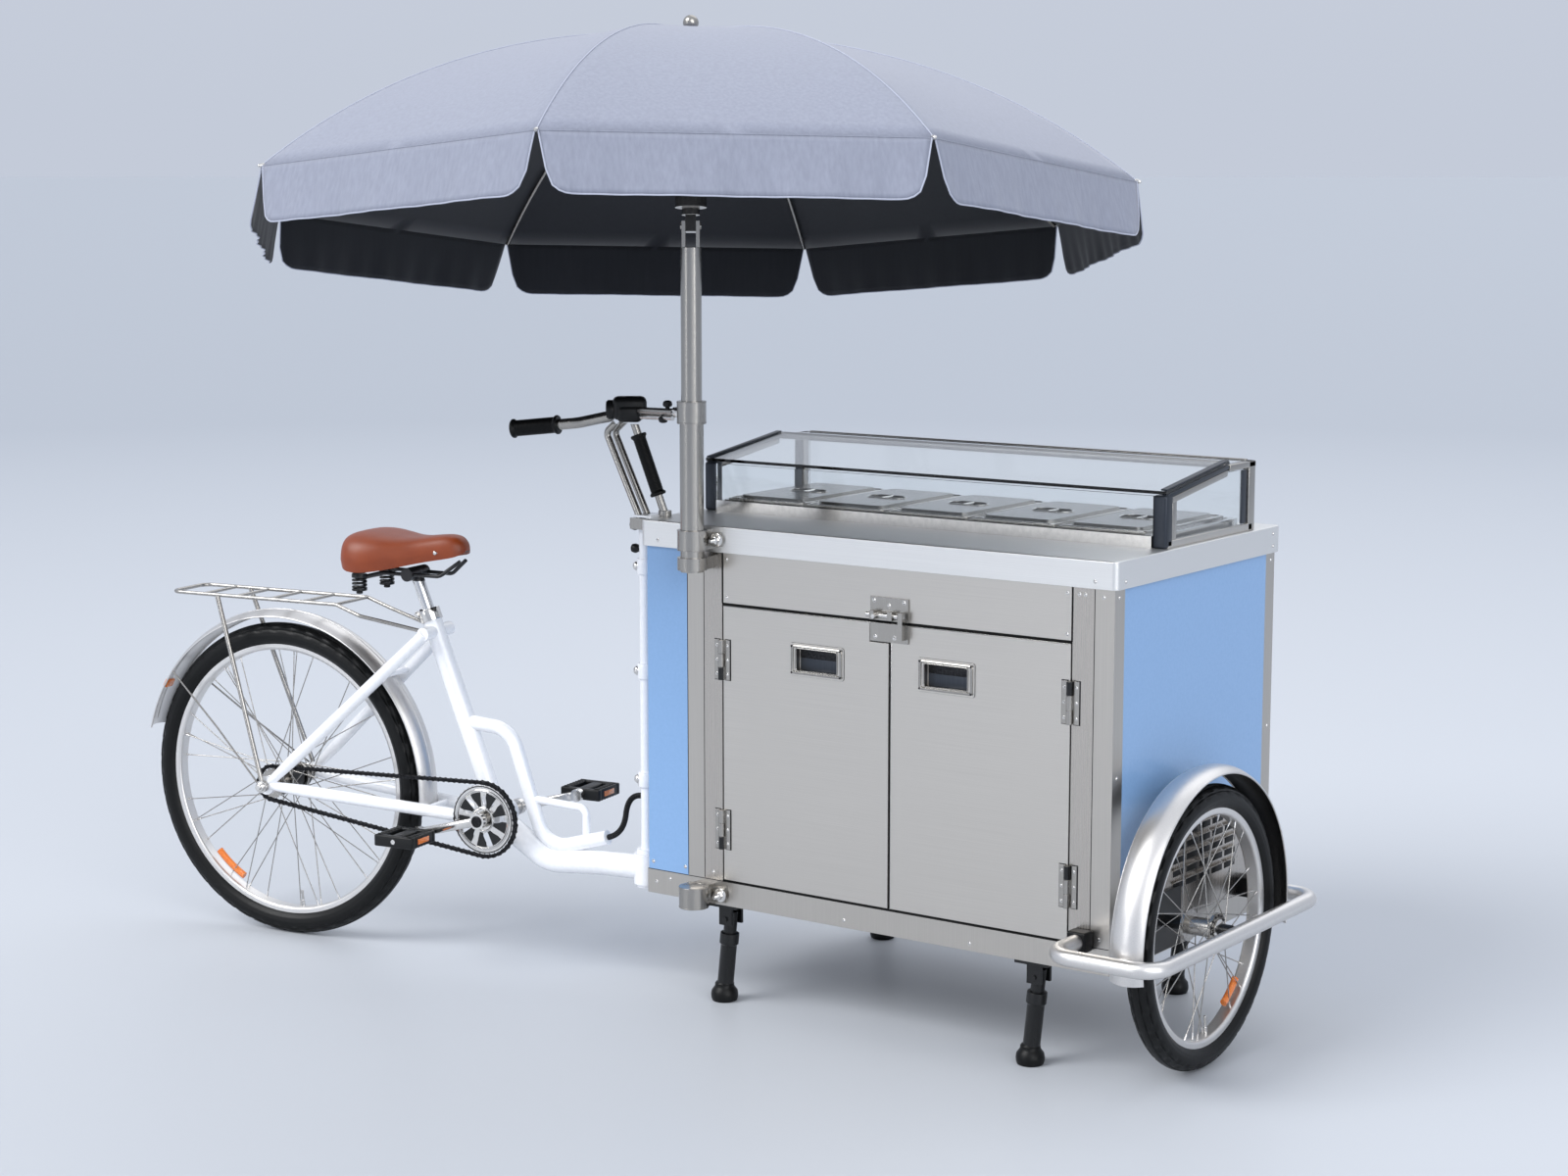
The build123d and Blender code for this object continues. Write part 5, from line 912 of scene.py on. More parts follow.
class CART_OT_fasteners(bpy.types.Operator):
    """Set the rivets of the cabinet, the hinge and latch screws and the spoke nipples"""

    bl_idname = "cart.fasteners"
    bl_label = "Rivets, Screws and Nipples"

    def execute(self, context):
        front = [(205, 812), (205, 886), (957, 812), (957, 886), (171, 884), (171, 266), (981, 886)]
        front += [(993, 886), (981, 266), (1030, 884), (1030, 266), (102, 884), (102, 266), (22, 266)]
        front += [(30, 226), (64, 236), (480, 216), (760, 216), (1010, 226)]
        rivets = [((x, 8, z), OUT) for x, z in front]
        rivets += [((x, 0, 912), OUT) for x in (44, 1016)]
        rivets += [((1060, y, z), RIGHT) for y, z in ((32, 912), (614, 912), (614, 936))]
        rivets += [((1052, y, z), RIGHT) for y in (24, 622) for z in (270, 560, 884)]
        rivets += [((8, y, z), LEFT) for y in (90, 340, 590) for z in (266, 884)]
        rivets += [((x, 638, z), BACK) for x in (60, 400, 740, 1030) for z in (266, 884)]
        scatter("cabinet_rivets", CABINET, rivets, (3.0, 1.8), "cabinet")
        left, right = HINGE_PIVOTS
        self.hinge_screws("cabinet_hinge_screws", "cabinet", ((left, -1), (right, 1)))
        self.hinge_screws("left_hinge_screws", "left_door", ((left, 1),))
        self.hinge_screws("right_hinge_screws", "right_door", ((right, -1),))
        plate = [((DOOR_MIDDLE + x, 5, z), OUT) for x, z in ((-33, 838), (33, 838), (0, 830), (-36, 808))]
        scatter("latch_plate_screws", CABINET, plate, (3.4, 2.2), "cabinet")
        keeper = [((DOOR_MIDDLE + x, 5, 770), OUT) for x in (-30, 12)]
        scatter("latch_keeper_screws", CABINET, keeper, (3.4, 2.2), "right_door")
        for wheel in WHEELS:
            name, body = f"{wheel.name}_nipples", f"{wheel.name}_wheel"
            spots = self.nipples(wheel)
            scatter(name, wheel.group, spots, (2.1, 11.0), body, "bright_metal", 10, 0.7, 1.0)
        return {"FINISHED"}

    @staticmethod
    def hinge_screws(name, body, leaves):
        """Three screws on each leaf of both hinges of a side."""
        spots = [
            ((pivot + side * 12.4, 5.5, middle + rise), OUT)
            for pivot, side in leaves
            for middle in HINGE_HEIGHTS
            for rise in (-28, 0, 28)
        ]
        scatter(name, CABINET, spots, (2.6, 1.6), body)

    @staticmethod
    def nipples(wheel):
        """Places on the rim where the spokes end, each facing along its spoke to the hub."""
        inner = wheel.radius - 0.85 * wheel.tyre - 15.6
        pairs = wheel.spokes // 4
        flange, lacing = 30.3, radians(62)
        spots = []
        for index in range(wheel.spokes):
            pair, side, lead = index // 4, (-1, 1)[index % 2], (-1, 1)[index // 2 % 2]
            turn = radians(pair * 360 / pairs + (90 / pairs if side > 0 else 0) + lead * 45 / pairs)
            rim = Vector((inner * cos(turn), side * (5.0 + lead * 1.3), inner * sin(turn)))
            hub_turn = turn - lead * lacing
            hub = Vector((flange * cos(hub_turn), side * (28 + lead * 1.8), flange * sin(hub_turn)))
            spots.append((rim, hub - rim))
        return spots


class CART_OT_chain(bpy.types.Operator):
    """Lay the roller chain round the ring and the sprocket, link by link"""

    bl_idname = "cart.chain"
    bl_label = "Chain"

    def execute(self, context):
        line = self.pitch_line()
        total = sum((b - a).length for a, b in zip(line, line[1:]))
        count = 2 * round(total / CHAIN_PITCH / 2)
        places, turns = [], []
        walked, leg = 0.0, 0
        for index in range(count):
            goal = (index + 0.5) * total / count
            while walked + (line[leg + 1] - line[leg]).length < goal:
                walked += (line[leg + 1] - line[leg]).length
                leg += 1
            step = line[leg + 1] - line[leg]
            spot = line[leg] + step.normalized() * (goal - walked)
            places.append(CYCLE @ Vector((spot.x, CHAIN_LINE, spot.y)))
            turns.append((0.0, -atan2(step.y, step.x), radians(STEER_ANGLE)))
        data = bpy.data.meshes.new("roller_chain")
        data.from_pydata(places, [], [])
        turn = data.attributes.new("turn", "FLOAT_VECTOR", "POINT")
        wide = data.attributes.new("wide", "BOOLEAN", "POINT")
        for index in range(count):
            turn.data[index].vector = turns[index]
            wide.data[index].value = index % 2 == 0
        tree = links_tree(1.04 * total / count / 1000)
        grow("roller_chain", data, tree, {}, "cycle", "black_metal", ["chain"])
        return {"FINISHED"}

    @staticmethod
    def pitch_line():
        """The closed line of the chain's pins, round the ring and then the sprocket."""
        ring, sprocket = (CHAIN_PITCH * teeth / (2 * pi) for teeth in (RING_TEETH, SPROCKET_TEETH))
        start, end = Vector((BRACKET[0], BRACKET[2])), Vector((REAR_AXLE[0], REAR_AXLE[2]))
        span = start - end
        tilt = atan2(span.y, span.x)
        lean = asin((ring - sprocket) / span.length)
        line = []
        for centre, radius, first, last in (
            (start, ring, tilt + pi / 2 + lean, tilt - pi / 2 - lean),
            (end, sprocket, tilt - pi / 2 - lean, tilt - 3 * pi / 2 + lean),
        ):
            for k in range(41):
                turn = first + (last - first) * k / 40
                line.append(centre + radius * Vector((cos(turn), sin(turn))))
        return [*line, line[0]]


class CART_OT_grips(bpy.types.Operator):
    """Mould the two hand grips and the control box on the handlebar"""

    bl_idname = "cart.grips"
    bl_label = "Grips"

    def execute(self, context):
        grips = Shape("rubber_grips", CABINET)
        for (start, end), first, last, core in ((BAR_END, 0.3, 1.03, 11.0), (GRAB_BAR, 0.16, 0.8, 8.0)):
            low, high = start.lerp(end, first), start.lerp(end, last)
            profile = self.ribbed((high - low).length, core)
            grips.lathe(profile, "rubber", low, (high - low).normalized(), 40)
        turn = Matrix.Rotation(radians(38.0), 3, "Z")
        for size, offset, finish, soft in (
            ((68, 46, 46), (0, 0, 4), "plastic", 12.0),
            ((50, 52, 34), (0, 0, -6), "plastic", 10.0),
            ((16, 12, 6), (4, -4, 25), "black", 2.0),
        ):
            grips.block(size, CONTROL_BOX + Vector(offset), finish, soft, turn)
        way = Vector((-0.78, -0.62, 0.0))
        dial = [(14, 0), (19, 1), (20, 4), (20, 12), (17, 16), (12, 17)]
        grips.lathe(dial, "plastic", CONTROL_BOX + way * 30, way)
        grips.done("cabinet", "black_rubber", ["grips"])
        return {"FINISHED"}

    @staticmethod
    def ribbed(length, core):
        """A grip's profile over a bar: a flange, ribs along its length and a rounded end."""
        thick = core + 4.6
        flange, shoulder, ridge, groove = thick + 3.4, thick + 0.6, thick + 0.5, thick - 0.5
        profile = [(core + 0.3, 0.0), (thick + 2.0, 0.0), (flange, 1.6), (flange, 5.0), (shoulder, 8.0)]
        count = int((length - 18) / 3)
        for k in range(count):
            at = 9.0 + k * (length - 18) / count
            profile += [(ridge, at), (ridge, at + 1.4), (groove, at + 2.0), (groove, at + 2.6)]
        profile += [(shoulder, length - 8), (flange, length - 5), (flange, length - 2)]
        return [*profile, (thick + 1.5, length), (core * 0.5, length + 0.4)]


class CART_OT_cranks(bpy.types.Operator):
    """Finish the chainring with its arms and painted shade in its windows, and the cranks with forged bars
    and bolts
    """

    bl_idname = "cart.cranks"
    bl_label = "Chainring and Cranks"

    def execute(self, context):
        crank = Shape("crank_forgings", CYCLE)
        hub = Vector(BRACKET)
        # Black windows between the arms stand in for the dark of open cutouts: painted shade
        for k in range(9):
            window = []
            for reach in (27.0, 37.0, 47.0, 57.0):
                turns = [radians(40 * k + 15 + 25 * s / 6 * min(1.0, reach / 47)) for s in range(7)]
                spots = [Vector((reach * cos(t), CHAIN_LINE - 2.0, reach * sin(t))) for t in turns]
                window.append([hub + spot for spot in spots])
            crank.grid(window, "black")
        for reach, radius, finish in ((61.0, 2.6, "chrome"), (24.0, 2.2, "chrome"), (69.0, 1.2, "oiled_steel_and_painted_shade")):
            points = [hub + p for p in ring_arc(reach, 0, 355, CHAIN_LINE - 1.6, 71)]
            crank.tube(points, radius, finish, closed=True)
        tilt = Matrix.Rotation(radians(-CRANK_ANGLE), 3, "Y")
        reach = tilt @ Vector((CRANK_LENGTH, 0, 0))
        bolt = [(11, 0), (12, 0.6), (12, 2.0), (9.5, 3.0), (9.0, 2.0), (2.0, 1.8)]
        for side in (-1, 1):
            spot = hub + side * reach / 2 + Vector((0, side * CRANK_SIDE, 0))
            crank.block((CRANK_LENGTH - 6, 13.0, 18), spot, "chrome", 4.0, tilt)
            crank.lathe(bolt, "oiled_steel_and_painted_shade", hub + Vector((0, side * (CRANK_SIDE + 6), 0)), (0, side, 0), 28)
        crank.done("crank", "bright_metal")
        drum = Shape("rear_hub_drum", REAR)
        barrel = [(20, -22), (25, -21), (26, -4), (26, 14), (24, 22), (19, 23)]
        flange = [(18.5, 34), (27, 34.5), (27, 44), (24, 47), (18.5, 48)]
        for profile in (barrel, flange):
            drum.lathe(profile, "black", along=BACK, sides=36)
        drum.done("rear_wheel", "bright_metal")
        return {"FINISHED"}


class CART_OT_pedals(bpy.types.Operator):
    """Mould the pedals, with tread bars and amber reflectors at both ends"""

    bl_idname = "cart.pedals"
    bl_label = "Pedals"

    def execute(self, context):
        turn = radians(CRANK_ANGLE)
        reach = Vector((CRANK_LENGTH * cos(turn), 0.0, CRANK_LENGTH * sin(turn)))
        for side, body in ((-1, "pedal_near"), (1, "pedal_far")):
            middle = Vector(BRACKET) + side * reach + Vector((0, side * (CRANK_SIDE + 52), 0))
            pedal = Shape(f"{body}_moulding", CYCLE)
            for end in (-1, 1):
                pedal.block((17, 86, 24), middle + Vector((end * 37, 0, 0)), "plastic", 3.0)
                pedal.block((1.6, 40, 11), middle + Vector((end * 45.2, 0, 0)), "reflector", 0.6)
                pedal.block((92, 13, 24), middle + Vector((0, end * 37, 0)), "plastic", 3.0)
                for x in (-36, 36):
                    for k in range(7):
                        spot = middle + Vector((x, -33 + 11 * k, end * 12.2))
                        pedal.block((12, 4, 2.4), spot, "plastic", 0.7)
            pedal.block((26, 84, 22), middle, "plastic", 5.0)
            pedal.done(body, "black_rubber", [body])
        return {"FINISHED"}


class CART_OT_case(bpy.types.Operator):
    """Frame the glass case: slate caps and strips on the end frames, and steel rails between them"""

    bl_idname = "cart.case"
    bl_label = "Glass Case"

    def execute(self, context):
        front, back, knee = 196.0, 552.0, 448.0
        low, front_top, back_top = 950.0, 1047.0, 1082.0
        tall, half_way = back_top - low, (low + back_top) / 2
        tilt = Matrix.Rotation(atan2(back_top - front_top, knee - front), 3, "X")
        run = Vector((0, knee - front - 14, back_top - front_top))
        case = Shape("case_end_frames", CABINET)
        for middle, cap, inward in ((17.0, 24.0, 1), (1043.0, 1036.0, -1)):
            top = Vector((middle, front + 8, front_top - 6)) + run / 2
            for size, spot, finish, soft, turn in (
                ((28, 27, front_top - low), (cap, front + 14, (low + front_top) / 2), "slate", 5.0, None),
                ((14, run.length, 8), top + Vector((0, 0, 3)), "slate", 2.0, tilt),
                ((12, run.length - 14, 12), top - Vector((0, -4, 7)), "satin", 2.0, tilt),
                ((14, back - knee + 4, 12), (middle, (knee + back) / 2, back_top - 6), "satin", 2.0, None),
                ((14, 26, tall), (middle, back - 13, half_way), "satin", 2.0, None),
                ((8, 22, tall - 30), (middle, back - 39, half_way), "slate", 2.0, None),
                ((14, back - front - 20, 14), (middle, (front + back) / 2, low + 7), "steel", 1.5, None),
                ((13, 18, 84), (middle + inward, front + 36, low + 49), "satin", 3.0, None),
            ):
                case.block(size, spot, finish, soft, turn)
        case.block((1002, 6, 8), (COUNTER_MIDDLE, back - 3, low + 4), "steel", 1.5)
        case.block((1008, 12, 9), (COUNTER_MIDDLE, back - 6, back_top - 2), "satin", 2.0)
        case.done("cabinet", "black_metal", ["case_frames"])
        rails = Shape("lid_rail", CABINET)
        rails.tube([(16, 456, 1075), (1044, 456, 1075)], 6.0, "satin", 20)
        for x in (18.5, 1041.5):
            rails.block((13, 244, 3), (x, 322, 1073.6), "slate", 1.2, tilt)
        rails.block((1006, 22, 9), (COUNTER_MIDDLE, 446, 1079), "satin", 2.5)
        rails.done("glass_lid", "steel")
        return {"FINISHED"}


class CART_OT_doors(bpy.types.Operator):
    """Line the door gaps with dark seals and lines of painted shade, and finish the pulls, hinges and lids
    with painted shade and painted highlights
    """

    bl_idname = "cart.doors"
    bl_label = "Door Seals, Pulls and Lids"

    def execute(self, context):
        self.seals()
        self.pull("left_door", 416.5, 197.0, 579.5)
        self.pull("right_door", 704.5, 582.5, 965.0)
        for pivot, side, body in zip(HINGE_PIVOTS, (1, -1), ("left_door", "right_door")):
            for carried, way in (("cabinet", -side), (body, side)):
                self.hinge(pivot, side, body, carried, way)
        for number, x in enumerate(LID_PLACES, start=1):
            self.lid(number, x)
        return {"FINISHED"}

    @staticmethod
    def seals():
        """Seals in the gaps round the doors, dark joints between the sheets beside them, and dark lines of
        painted shade on the face along the gaps.
        """
        seals = Shape("door_seals_and_painted_gap_shade", CABINET)
        for size, soft, spots in (
            ((773.6, 3, 2.6), 0.5, [(DOOR_MIDDLE, SEAL_DEPTH, z) for z in (897.5, 798.5, 251.5)]),
            ((1.3, 3, 540), 0.4, [(x, SEAL_DEPTH, DOOR_LEVEL) for x in (194.9, 967.1)]),
            ((1.4, 0.6, 645), 0.2, [(x, DOOR_FACE, 575) for x in (110, 150, 1012)]),
            # These three rows: dark lines on the face beside the fascia's ends, under the doors and along the
            # fascia's edges, painted shade that widens the gaps
            ((1.4, 0.6, 98), 0.2, [(x, DOOR_FACE, 849) for x in (194, 968)]),
            ((1042, 0.6, 1.4), 0.2, [(COUNTER_MIDDLE, DOOR_FACE, 250.2)]),
            ((768, 0.6, 1.2), 0.25, [(DOOR_MIDDLE, DOOR_FACE, z) for z in (800.6, 898.2)]),
        ):
            for spot in spots:
                seals.block(size, spot, "rubber", soft)
        seals.done("cabinet", "black_rubber")

    @staticmethod
    def pull(body, x, left, right):
        """One door's recessed pull, with painted shade in its recess and round its rim, and dark lines of
        painted shade and bright strips of painted highlight along the door's edges.
        """
        pull = Shape(f"{body}_pull_cup", CABINET)
        for half, tall, radius, depth, finish in (
            (55.5, 25.5, 3.2, 6.6, "satin"),
            (47.6, 22.0, 1.5, 6.2, "satin"),
            # The outer dark ring round the rim: painted shadow
            (61.6, 31.2, 0.8, 7.6, "oiled_steel_and_painted_shade"),
        ):
            loop = rounded_loop((x, depth, PULL_LEVEL), half, tall, 5.0, False)
            pull.tube(loop, radius, finish, closed=True)
        # Back plates dark above and mid-dark below, a dark ceiling and a pale floor: painted shade in the
        # recess, darkest at the top
        for size, depth, height, finish in (
            ((91, 0.8, 23), 19.6, 698.4, "slate"),
            ((91, 0.8, 18), 19.2, 719.0, "oiled_steel_and_painted_shade"),
            ((91, 11, 0.8), 13.4, 687.2, "satin"),
            ((91, 11, 0.8), 13.4, 728.6, "oiled_steel_and_painted_shade"),
        ):
            pull.block(size, (x, depth, height), finish, 0.3)
        pin = [(2.2, 0), (2.2, 0.5), (1.0, 1.2)]
        for cx in (-55.5, 55.5):
            for cz in (-25.5, 25.5):
                pull.lathe(pin, "oiled_steel_and_painted_shade", (x + cx, 3.6, PULL_LEVEL + cz), OUT, 12)
        middle, width = (left + right) / 2, right - left
        # Dark lines along the door's top and bottom edges are painted shade beside the gaps; the satin strip
        # under the top one is a painted highlight on the edge
        for height, finish, drop in ((796.2, "rubber", 0.0), (794.6, "satin", 0.2), (253.8, "rubber", 0.0)):
            pull.block((width, 0.6, 1.7), (middle, DOOR_FACE - drop, height), finish, 0.25)
        # Dark line along the door's middle edge: painted shade beside the gap
        edge = right - 0.6 if body == "left_door" else left + 0.6
        pull.block((1.2, 0.6, 543), (edge, DOOR_FACE, DOOR_LEVEL), "rubber", 0.25)
        if body == "right_door":
            pull.block((2.6, 3, 540), (DOOR_MIDDLE, SEAL_DEPTH, DOOR_LEVEL), "rubber", 0.6)
            # Bright strip along the right door's middle edge: painted highlight
            pull.block((1.0, 0.6, 542), (left + 1.8, 7.8, DOOR_LEVEL), "chrome", 0.25)
        pull.done(body, "steel")

    @staticmethod
    def hinge(pivot, side, body, carried, way):
        """The shadow plates behind the leaves, and the knuckles, of a door's two hinges that one body
        carries; the plates are painted shadow and the black knuckles a painted dark reflection.
        """
        hinge = Shape(f"{body}_hinge_on_{carried}", CABINET)
        spans = ((-13, 13),) if carried == "cabinet" else ((-39, -13.4), (13.4, 39))
        for middle in HINGE_HEIGHTS:
            # A dark plate a little larger than the leaf, behind it: painted shadow round the leaf's edges
            hinge.block((14.4, 0.6, 81), (pivot + way * 12.4, 7.8, middle), "oiled_steel_and_painted_shade", 0.25)
            for low, high in spans:
                # The door's lower knuckle on the left, its upper one on the right, in black: a painted dark
                # reflection in the barrel
                dark = (low < -20 and side > 0) or (low > 10 and side < 0)
                profile = [(5.0, 0.0), (5.8, 0.5), (5.8, high - low - 0.5), (5.0, high - low)]
                hinge.lathe(profile, "black" if dark else "satin", (pivot, 2, middle + low), UP, 20)
        hinge.done(carried, "steel")

    @staticmethod
    def lid(number, x, y=364):
        """The trim of one pan lid: a long cup with a bar across it, a dark ring and a dark floor in the cup
        as painted shade, and the lid's rolled edge.
        """
        lid = Shape(f"pan_lid_{number}_trim", CABINET)
        # The outer ring bright, the inner ring dark as painted shade at the cup's wall
        for reach, finish, radius in ((1.0, "chrome", 1.6), (0.86, "oiled_steel_and_painted_shade", 0.9)):
            loop = []
            for turn in circle(48):
                shift = copysign(20.0, cos(turn)) if abs(cos(turn)) > 1e-6 else 0.0
                loop.append((x + shift + 22 * reach * cos(turn), y + 22 * reach * sin(turn), 982.3))
            lid.tube(loop, radius, finish, closed=True)
        # A dark floor in the cup: painted shade
        lid.block((76, 36, 0.6), (x, y, 977.6), "oiled_steel_and_painted_shade", 0.2)
        lid.tube([(x, y - 20, 980.6), (x, y + 20, 980.6)], 3.6, "chrome", 14)
        lid.tube(rounded_loop((x, y, 976.4), 88.0, 150.0, 14.0, True), 1.6, "chrome", closed=True)
        lid.done(f"pan_lid_{number}", "steel")


class CART_OT_clamps(bpy.types.Operator):
    """Bolt up the pole clamps, the column, the handlebar tie and the seat clamp"""

    bl_idname = "cart.clamps"
    bl_label = "Clamps and Knobs"

    def execute(self, context):
        self.pole()
        self.column()
        self.seat()
        return {"FINISHED"}

    @staticmethod
    def pole():
        """Bolts of the two pole clamps, and bands round the pole's sleeve."""
        steel = Shape("pole_clamp_bolts", CABINET)
        x, y = POLE
        thread = [(5.0 if k % 2 else 4.2, 11 + k * 0.9) for k in range(13)]
        for height, wall in ((924.0, 0.0), (223.0, 8.0)):
            right, left = (x + 37, wall - 5, height), (x - 38, wall - 5, height)
            for profile, spot, sides in (
                ([(12, 0), (13.5, 0.8), (13.5, 2.6), (12, 3.4)], right, 28),
                ([(8.5, 3.4), (8.5, 11), (7, 12)], right, 6),
                ([*thread, (3.0, 23.5)], right, 16),
                ([(8.4, 0), (9.2, 0.6), (9.2, 2.0), (7.6, 2.8)], left, 24),
                ([(6.2, 2.4), (6.2, 6.4), (5.0, 7.4)], left, 6),
            ):
                steel.lathe(profile, "chrome", spot, OUT, sides)
        for height in (1150.0, 1189.0, 906.0, 943.0, 203.5, 242.5):
            radius = 28.2 if height > 1000 else 29.2
            band = [(radius - 1, -1.2), (radius + 0.3, -0.8), (radius + 0.3, 0.8), (radius - 1, 1.2)]
            steel.lathe(band, "satin", (x, y, height), UP, 56)
        steel.done("cabinet", "steel")

    @staticmethod
    def column():
        """Knobs, bolts and collars of the column, and the knobs and bar of the handlebar's tie."""
        knobs = Shape("column_knobs", CABINET)
        x, y = COLUMN
        for height, radius in ((932.0, 11.0), (884.0, 8.5)):
            profile = [(5, 0), (radius, 6), (radius + 1, 10), (radius, 16), (radius * 0.5, 19)]
            knobs.lathe(profile, "plastic", (x - 12, y - 4, height), LEFT, 24)
        bolt = [(9, 0), (9.6, 1), (9.6, 4), (6, 9), (3, 10.5)]
        collar = [(17.4, -15), (18, -13), (18, 13), (17.4, 15)]
        for height in (420.0, 640.0, 850.0):
            knobs.lathe(bolt, "chrome", (x - 13, y - 8, height), (-0.8, -0.6, 0), 24)
            knobs.lathe(collar, "white", (x, y, height), UP, 40)
        knobs.block((46, 52, 5), (x + 12, y, 951.5), "white", 2.0)
        span = Vector((*POLE, 1168.0)) - CONTROL_BOX
        knob = [(4, 2), (4.4, 9), (8.5, 11), (9.5, 15), (8, 20), (4, 22)]
        for share, way in ((0.62, 1), (0.55, -1)):
            knobs.lathe(knob, "plastic", CONTROL_BOX + span * share, (0, 0, way), 24)
        sleeve = [(9, -14), (10.5, -12), (10.5, 10), (9, 12)]
        knobs.lathe(sleeve, "chrome", CONTROL_BOX + span * 0.8, span.normalized(), 24)
        low = CONTROL_BOX + span * 0.2 + Vector((0, 0, -12))
        knobs.tube([low, low + span * 0.5], 5.0, "chrome", 14)
        knobs.done("cabinet", "black_rubber")

    @staticmethod
    def seat():
        """The clamp round the seat post, with its lug and bolt."""
        seat = Shape("seat_clamp", CYCLE)
        way = Vector((-162.0, 0.0, 415.0)).normalized()
        ring = [(20.3, -25), (23, -24.6), (23.2, -23), (22.8, -12), (23.2, -1), (22.6, 0.4), (13.4, 1.0)]
        seat.lathe(ring, "chrome", (-514.0, 0.0, 727.0), way, 48)
        lug = Vector((-532.1, 0.0, 715.8))
        seat.lathe([(6.8, -14.6), (7.5, -14), (7.5, 14), (6.8, 14.6)], "chrome", lug, BACK, 28)
        seat.lathe([(6.0, 0), (6.0, 4.4), (4.6, 5.6)], "chrome", lug + Vector((0, -14.4, 0)), OUT, 6)
        seat.block((14, 5, 20), lug + Vector((4, 0, 0)), "oiled_steel_and_painted_shade", 1.0)
        seat.done("cycle", "bright_metal")


class CART_OT_wheels(bpy.types.Operator):
    """Add the spoke reflectors, valves, hub ends and fender edges to both wheels"""

    bl_idname = "cart.wheels"
    bl_label = "Wheels and Fenders"

    def execute(self, context):
        for wheel in WHEELS:
            self.fittings(wheel)
        self.fenders()
        nuts = Shape("rear_axle_nuts", CYCLE)
        nut = [(13, 0), (13, 1.6), (9.6, 1.8), (9.6, 8), (8, 9.4), (5.8, 9.5), (5.6, 14)]
        for side in (-1, 1):
            nuts.lathe(nut, "chrome", Vector(REAR_AXLE) + Vector((0, side * 100.2, 0)), (0, side, 0), 24)
        nuts.done("cycle", "bright_metal")
        return {"FINISHED"}

    @staticmethod
    def fittings(wheel):
        """One wheel's spoke reflector, valve, rim edges, hub ends and spoke heads."""
        inner = wheel.radius - 0.85 * wheel.tyre - 15.3
        extra = Shape(f"{wheel.name}_wheel_fittings", wheel.group)
        rings = []
        for point in ring_arc(inner - 18, wheel.reflector - 9, wheel.reflector + 9, 0.0, 16):
            out = point.normalized()
            side = Vector(BACK)
            rings.append([point + out * (8 * cos(t)) + side * (6.5 * sin(t)) for t in circle(16)])
        extra.skin(rings, "reflector")
        turn = radians(-84.0)
        way = Vector((-cos(turn), 0, -sin(turn)))
        valve = [(3.2, 0), (3.2, 12), (2.4, 13), (2.4, 26), (3.0, 27), (3.0, 34), (1.5, 35)]
        extra.lathe(valve, "chrome", (inner * cos(turn), 0, inner * sin(turn)), way, 16)
        hub_end = [(17.2, 0), (19, 1), (19, 3.5), (15, 5.5), (9.5, 6)]
        spoke_head = [(1.9, 0), (2.4, 0.6), (1.6, 1.6)]
        holes, hole_radius = wheel.spokes // 2, 25.5
        for side in (-1, 1):
            extra.tube(ring_arc(inner + 15.5, 0, 357, side * 14.6, 119), 1.1, "aluminium", closed=True)
            extra.lathe(hub_end, "chrome", (0, side * wheel.cap, 0), (0, side, 0))
            for k in range(holes):
                t = 2 * pi * (k + 0.25) / holes
                spot = (hole_radius * cos(t), side * 31.0, hole_radius * sin(t))
                extra.lathe(spoke_head, "oiled_steel_and_painted_shade", spot, (0, side, 0), 8)
        extra.done(f"{wheel.name}_wheel", "bright_metal")

    @staticmethod
    def fenders():
        """Rolled edges of both fenders, the rear one's stays and reflector, the front one's undercoat."""
        rear = Shape("rear_fender_edges", REAR)
        for side in (-1, 1):
            rear.tube(ring_arc(353.0, -6, 166, side * 31.4), 1.8, "aluminium")
            rear.tube([(0, side * 103, 0), (-140, side * 62, 108), (-279, side * 32.5, 215)], 2.0, "wire")
        rear.tube(ring_arc(365.0, -6, 164, 0.0), 2.0, "aluminium")
        turn = radians(150.0)
        spot = (364 * cos(turn), 0, 364 * sin(turn))
        rear.block((10, 24, 20), spot, "reflector", 3.0, Matrix.Rotation(-turn, 3, "Y"))
        rear.done("cycle", "bright_metal")
        front = Shape("front_fender_edges", FRONT)
        for side in (-1, 1):
            front.tube(ring_arc(286.0, -10, 188, side * 31.4), 1.8, "aluminium")
        bow = 48.67
        coat = []
        for k in range(-6, 7):
            y = 31.0 * k / 6
            coat.append(ring_arc(296.2 - bow + sqrt(bow**2 - y**2), -9.5, 187.5, y))
        front.grid(coat, "black")
        front.done("cabinet", "bright_metal")


class CART_OT_vent(bpy.types.Operator):
    """Fit the louvred splash plate behind the front wheel"""

    bl_idname = "cart.vent"
    bl_label = "Vent Plate"

    def execute(self, context):
        plate = Shape("vent_plate", CABINET)
        middle, foot, reach = 366.0, 251.0, 236.0
        rows = []
        for k in range(41):
            y = middle - 232 + 456 * k / 40
            top = 215 + sqrt(reach**2 - min(abs(y - middle), reach - 12) ** 2)
            rows.append([Vector((1054.2, y, foot + (top - foot) * i / 3)) for i in range(4)])
        fold = [Vector((1051.0, p.y, p.z)) for p in rows[0]]
        plate.grid([fold, *rows], "surround")
        plate.tube([row[-1] for row in rows], 1.6, "satin")
        hood = Matrix.Rotation(radians(-34.0), 3, "Y")
        for row in range(5):
            height = 318.0 + 24 * row
            for k in range(5):
                y = 262.0 + 52 * k
                # Black slots under the hoods: painted shade of the openings
                plate.block((1.2, 42, 13), (1054.4, y, height), "rubber", 0.5)
                plate.block((9, 46, 1.4), (1057.4, y, height + 7), "surround", 0.5, hood)
        plate.done("cabinet", "steel")
        return {"FINISHED"}


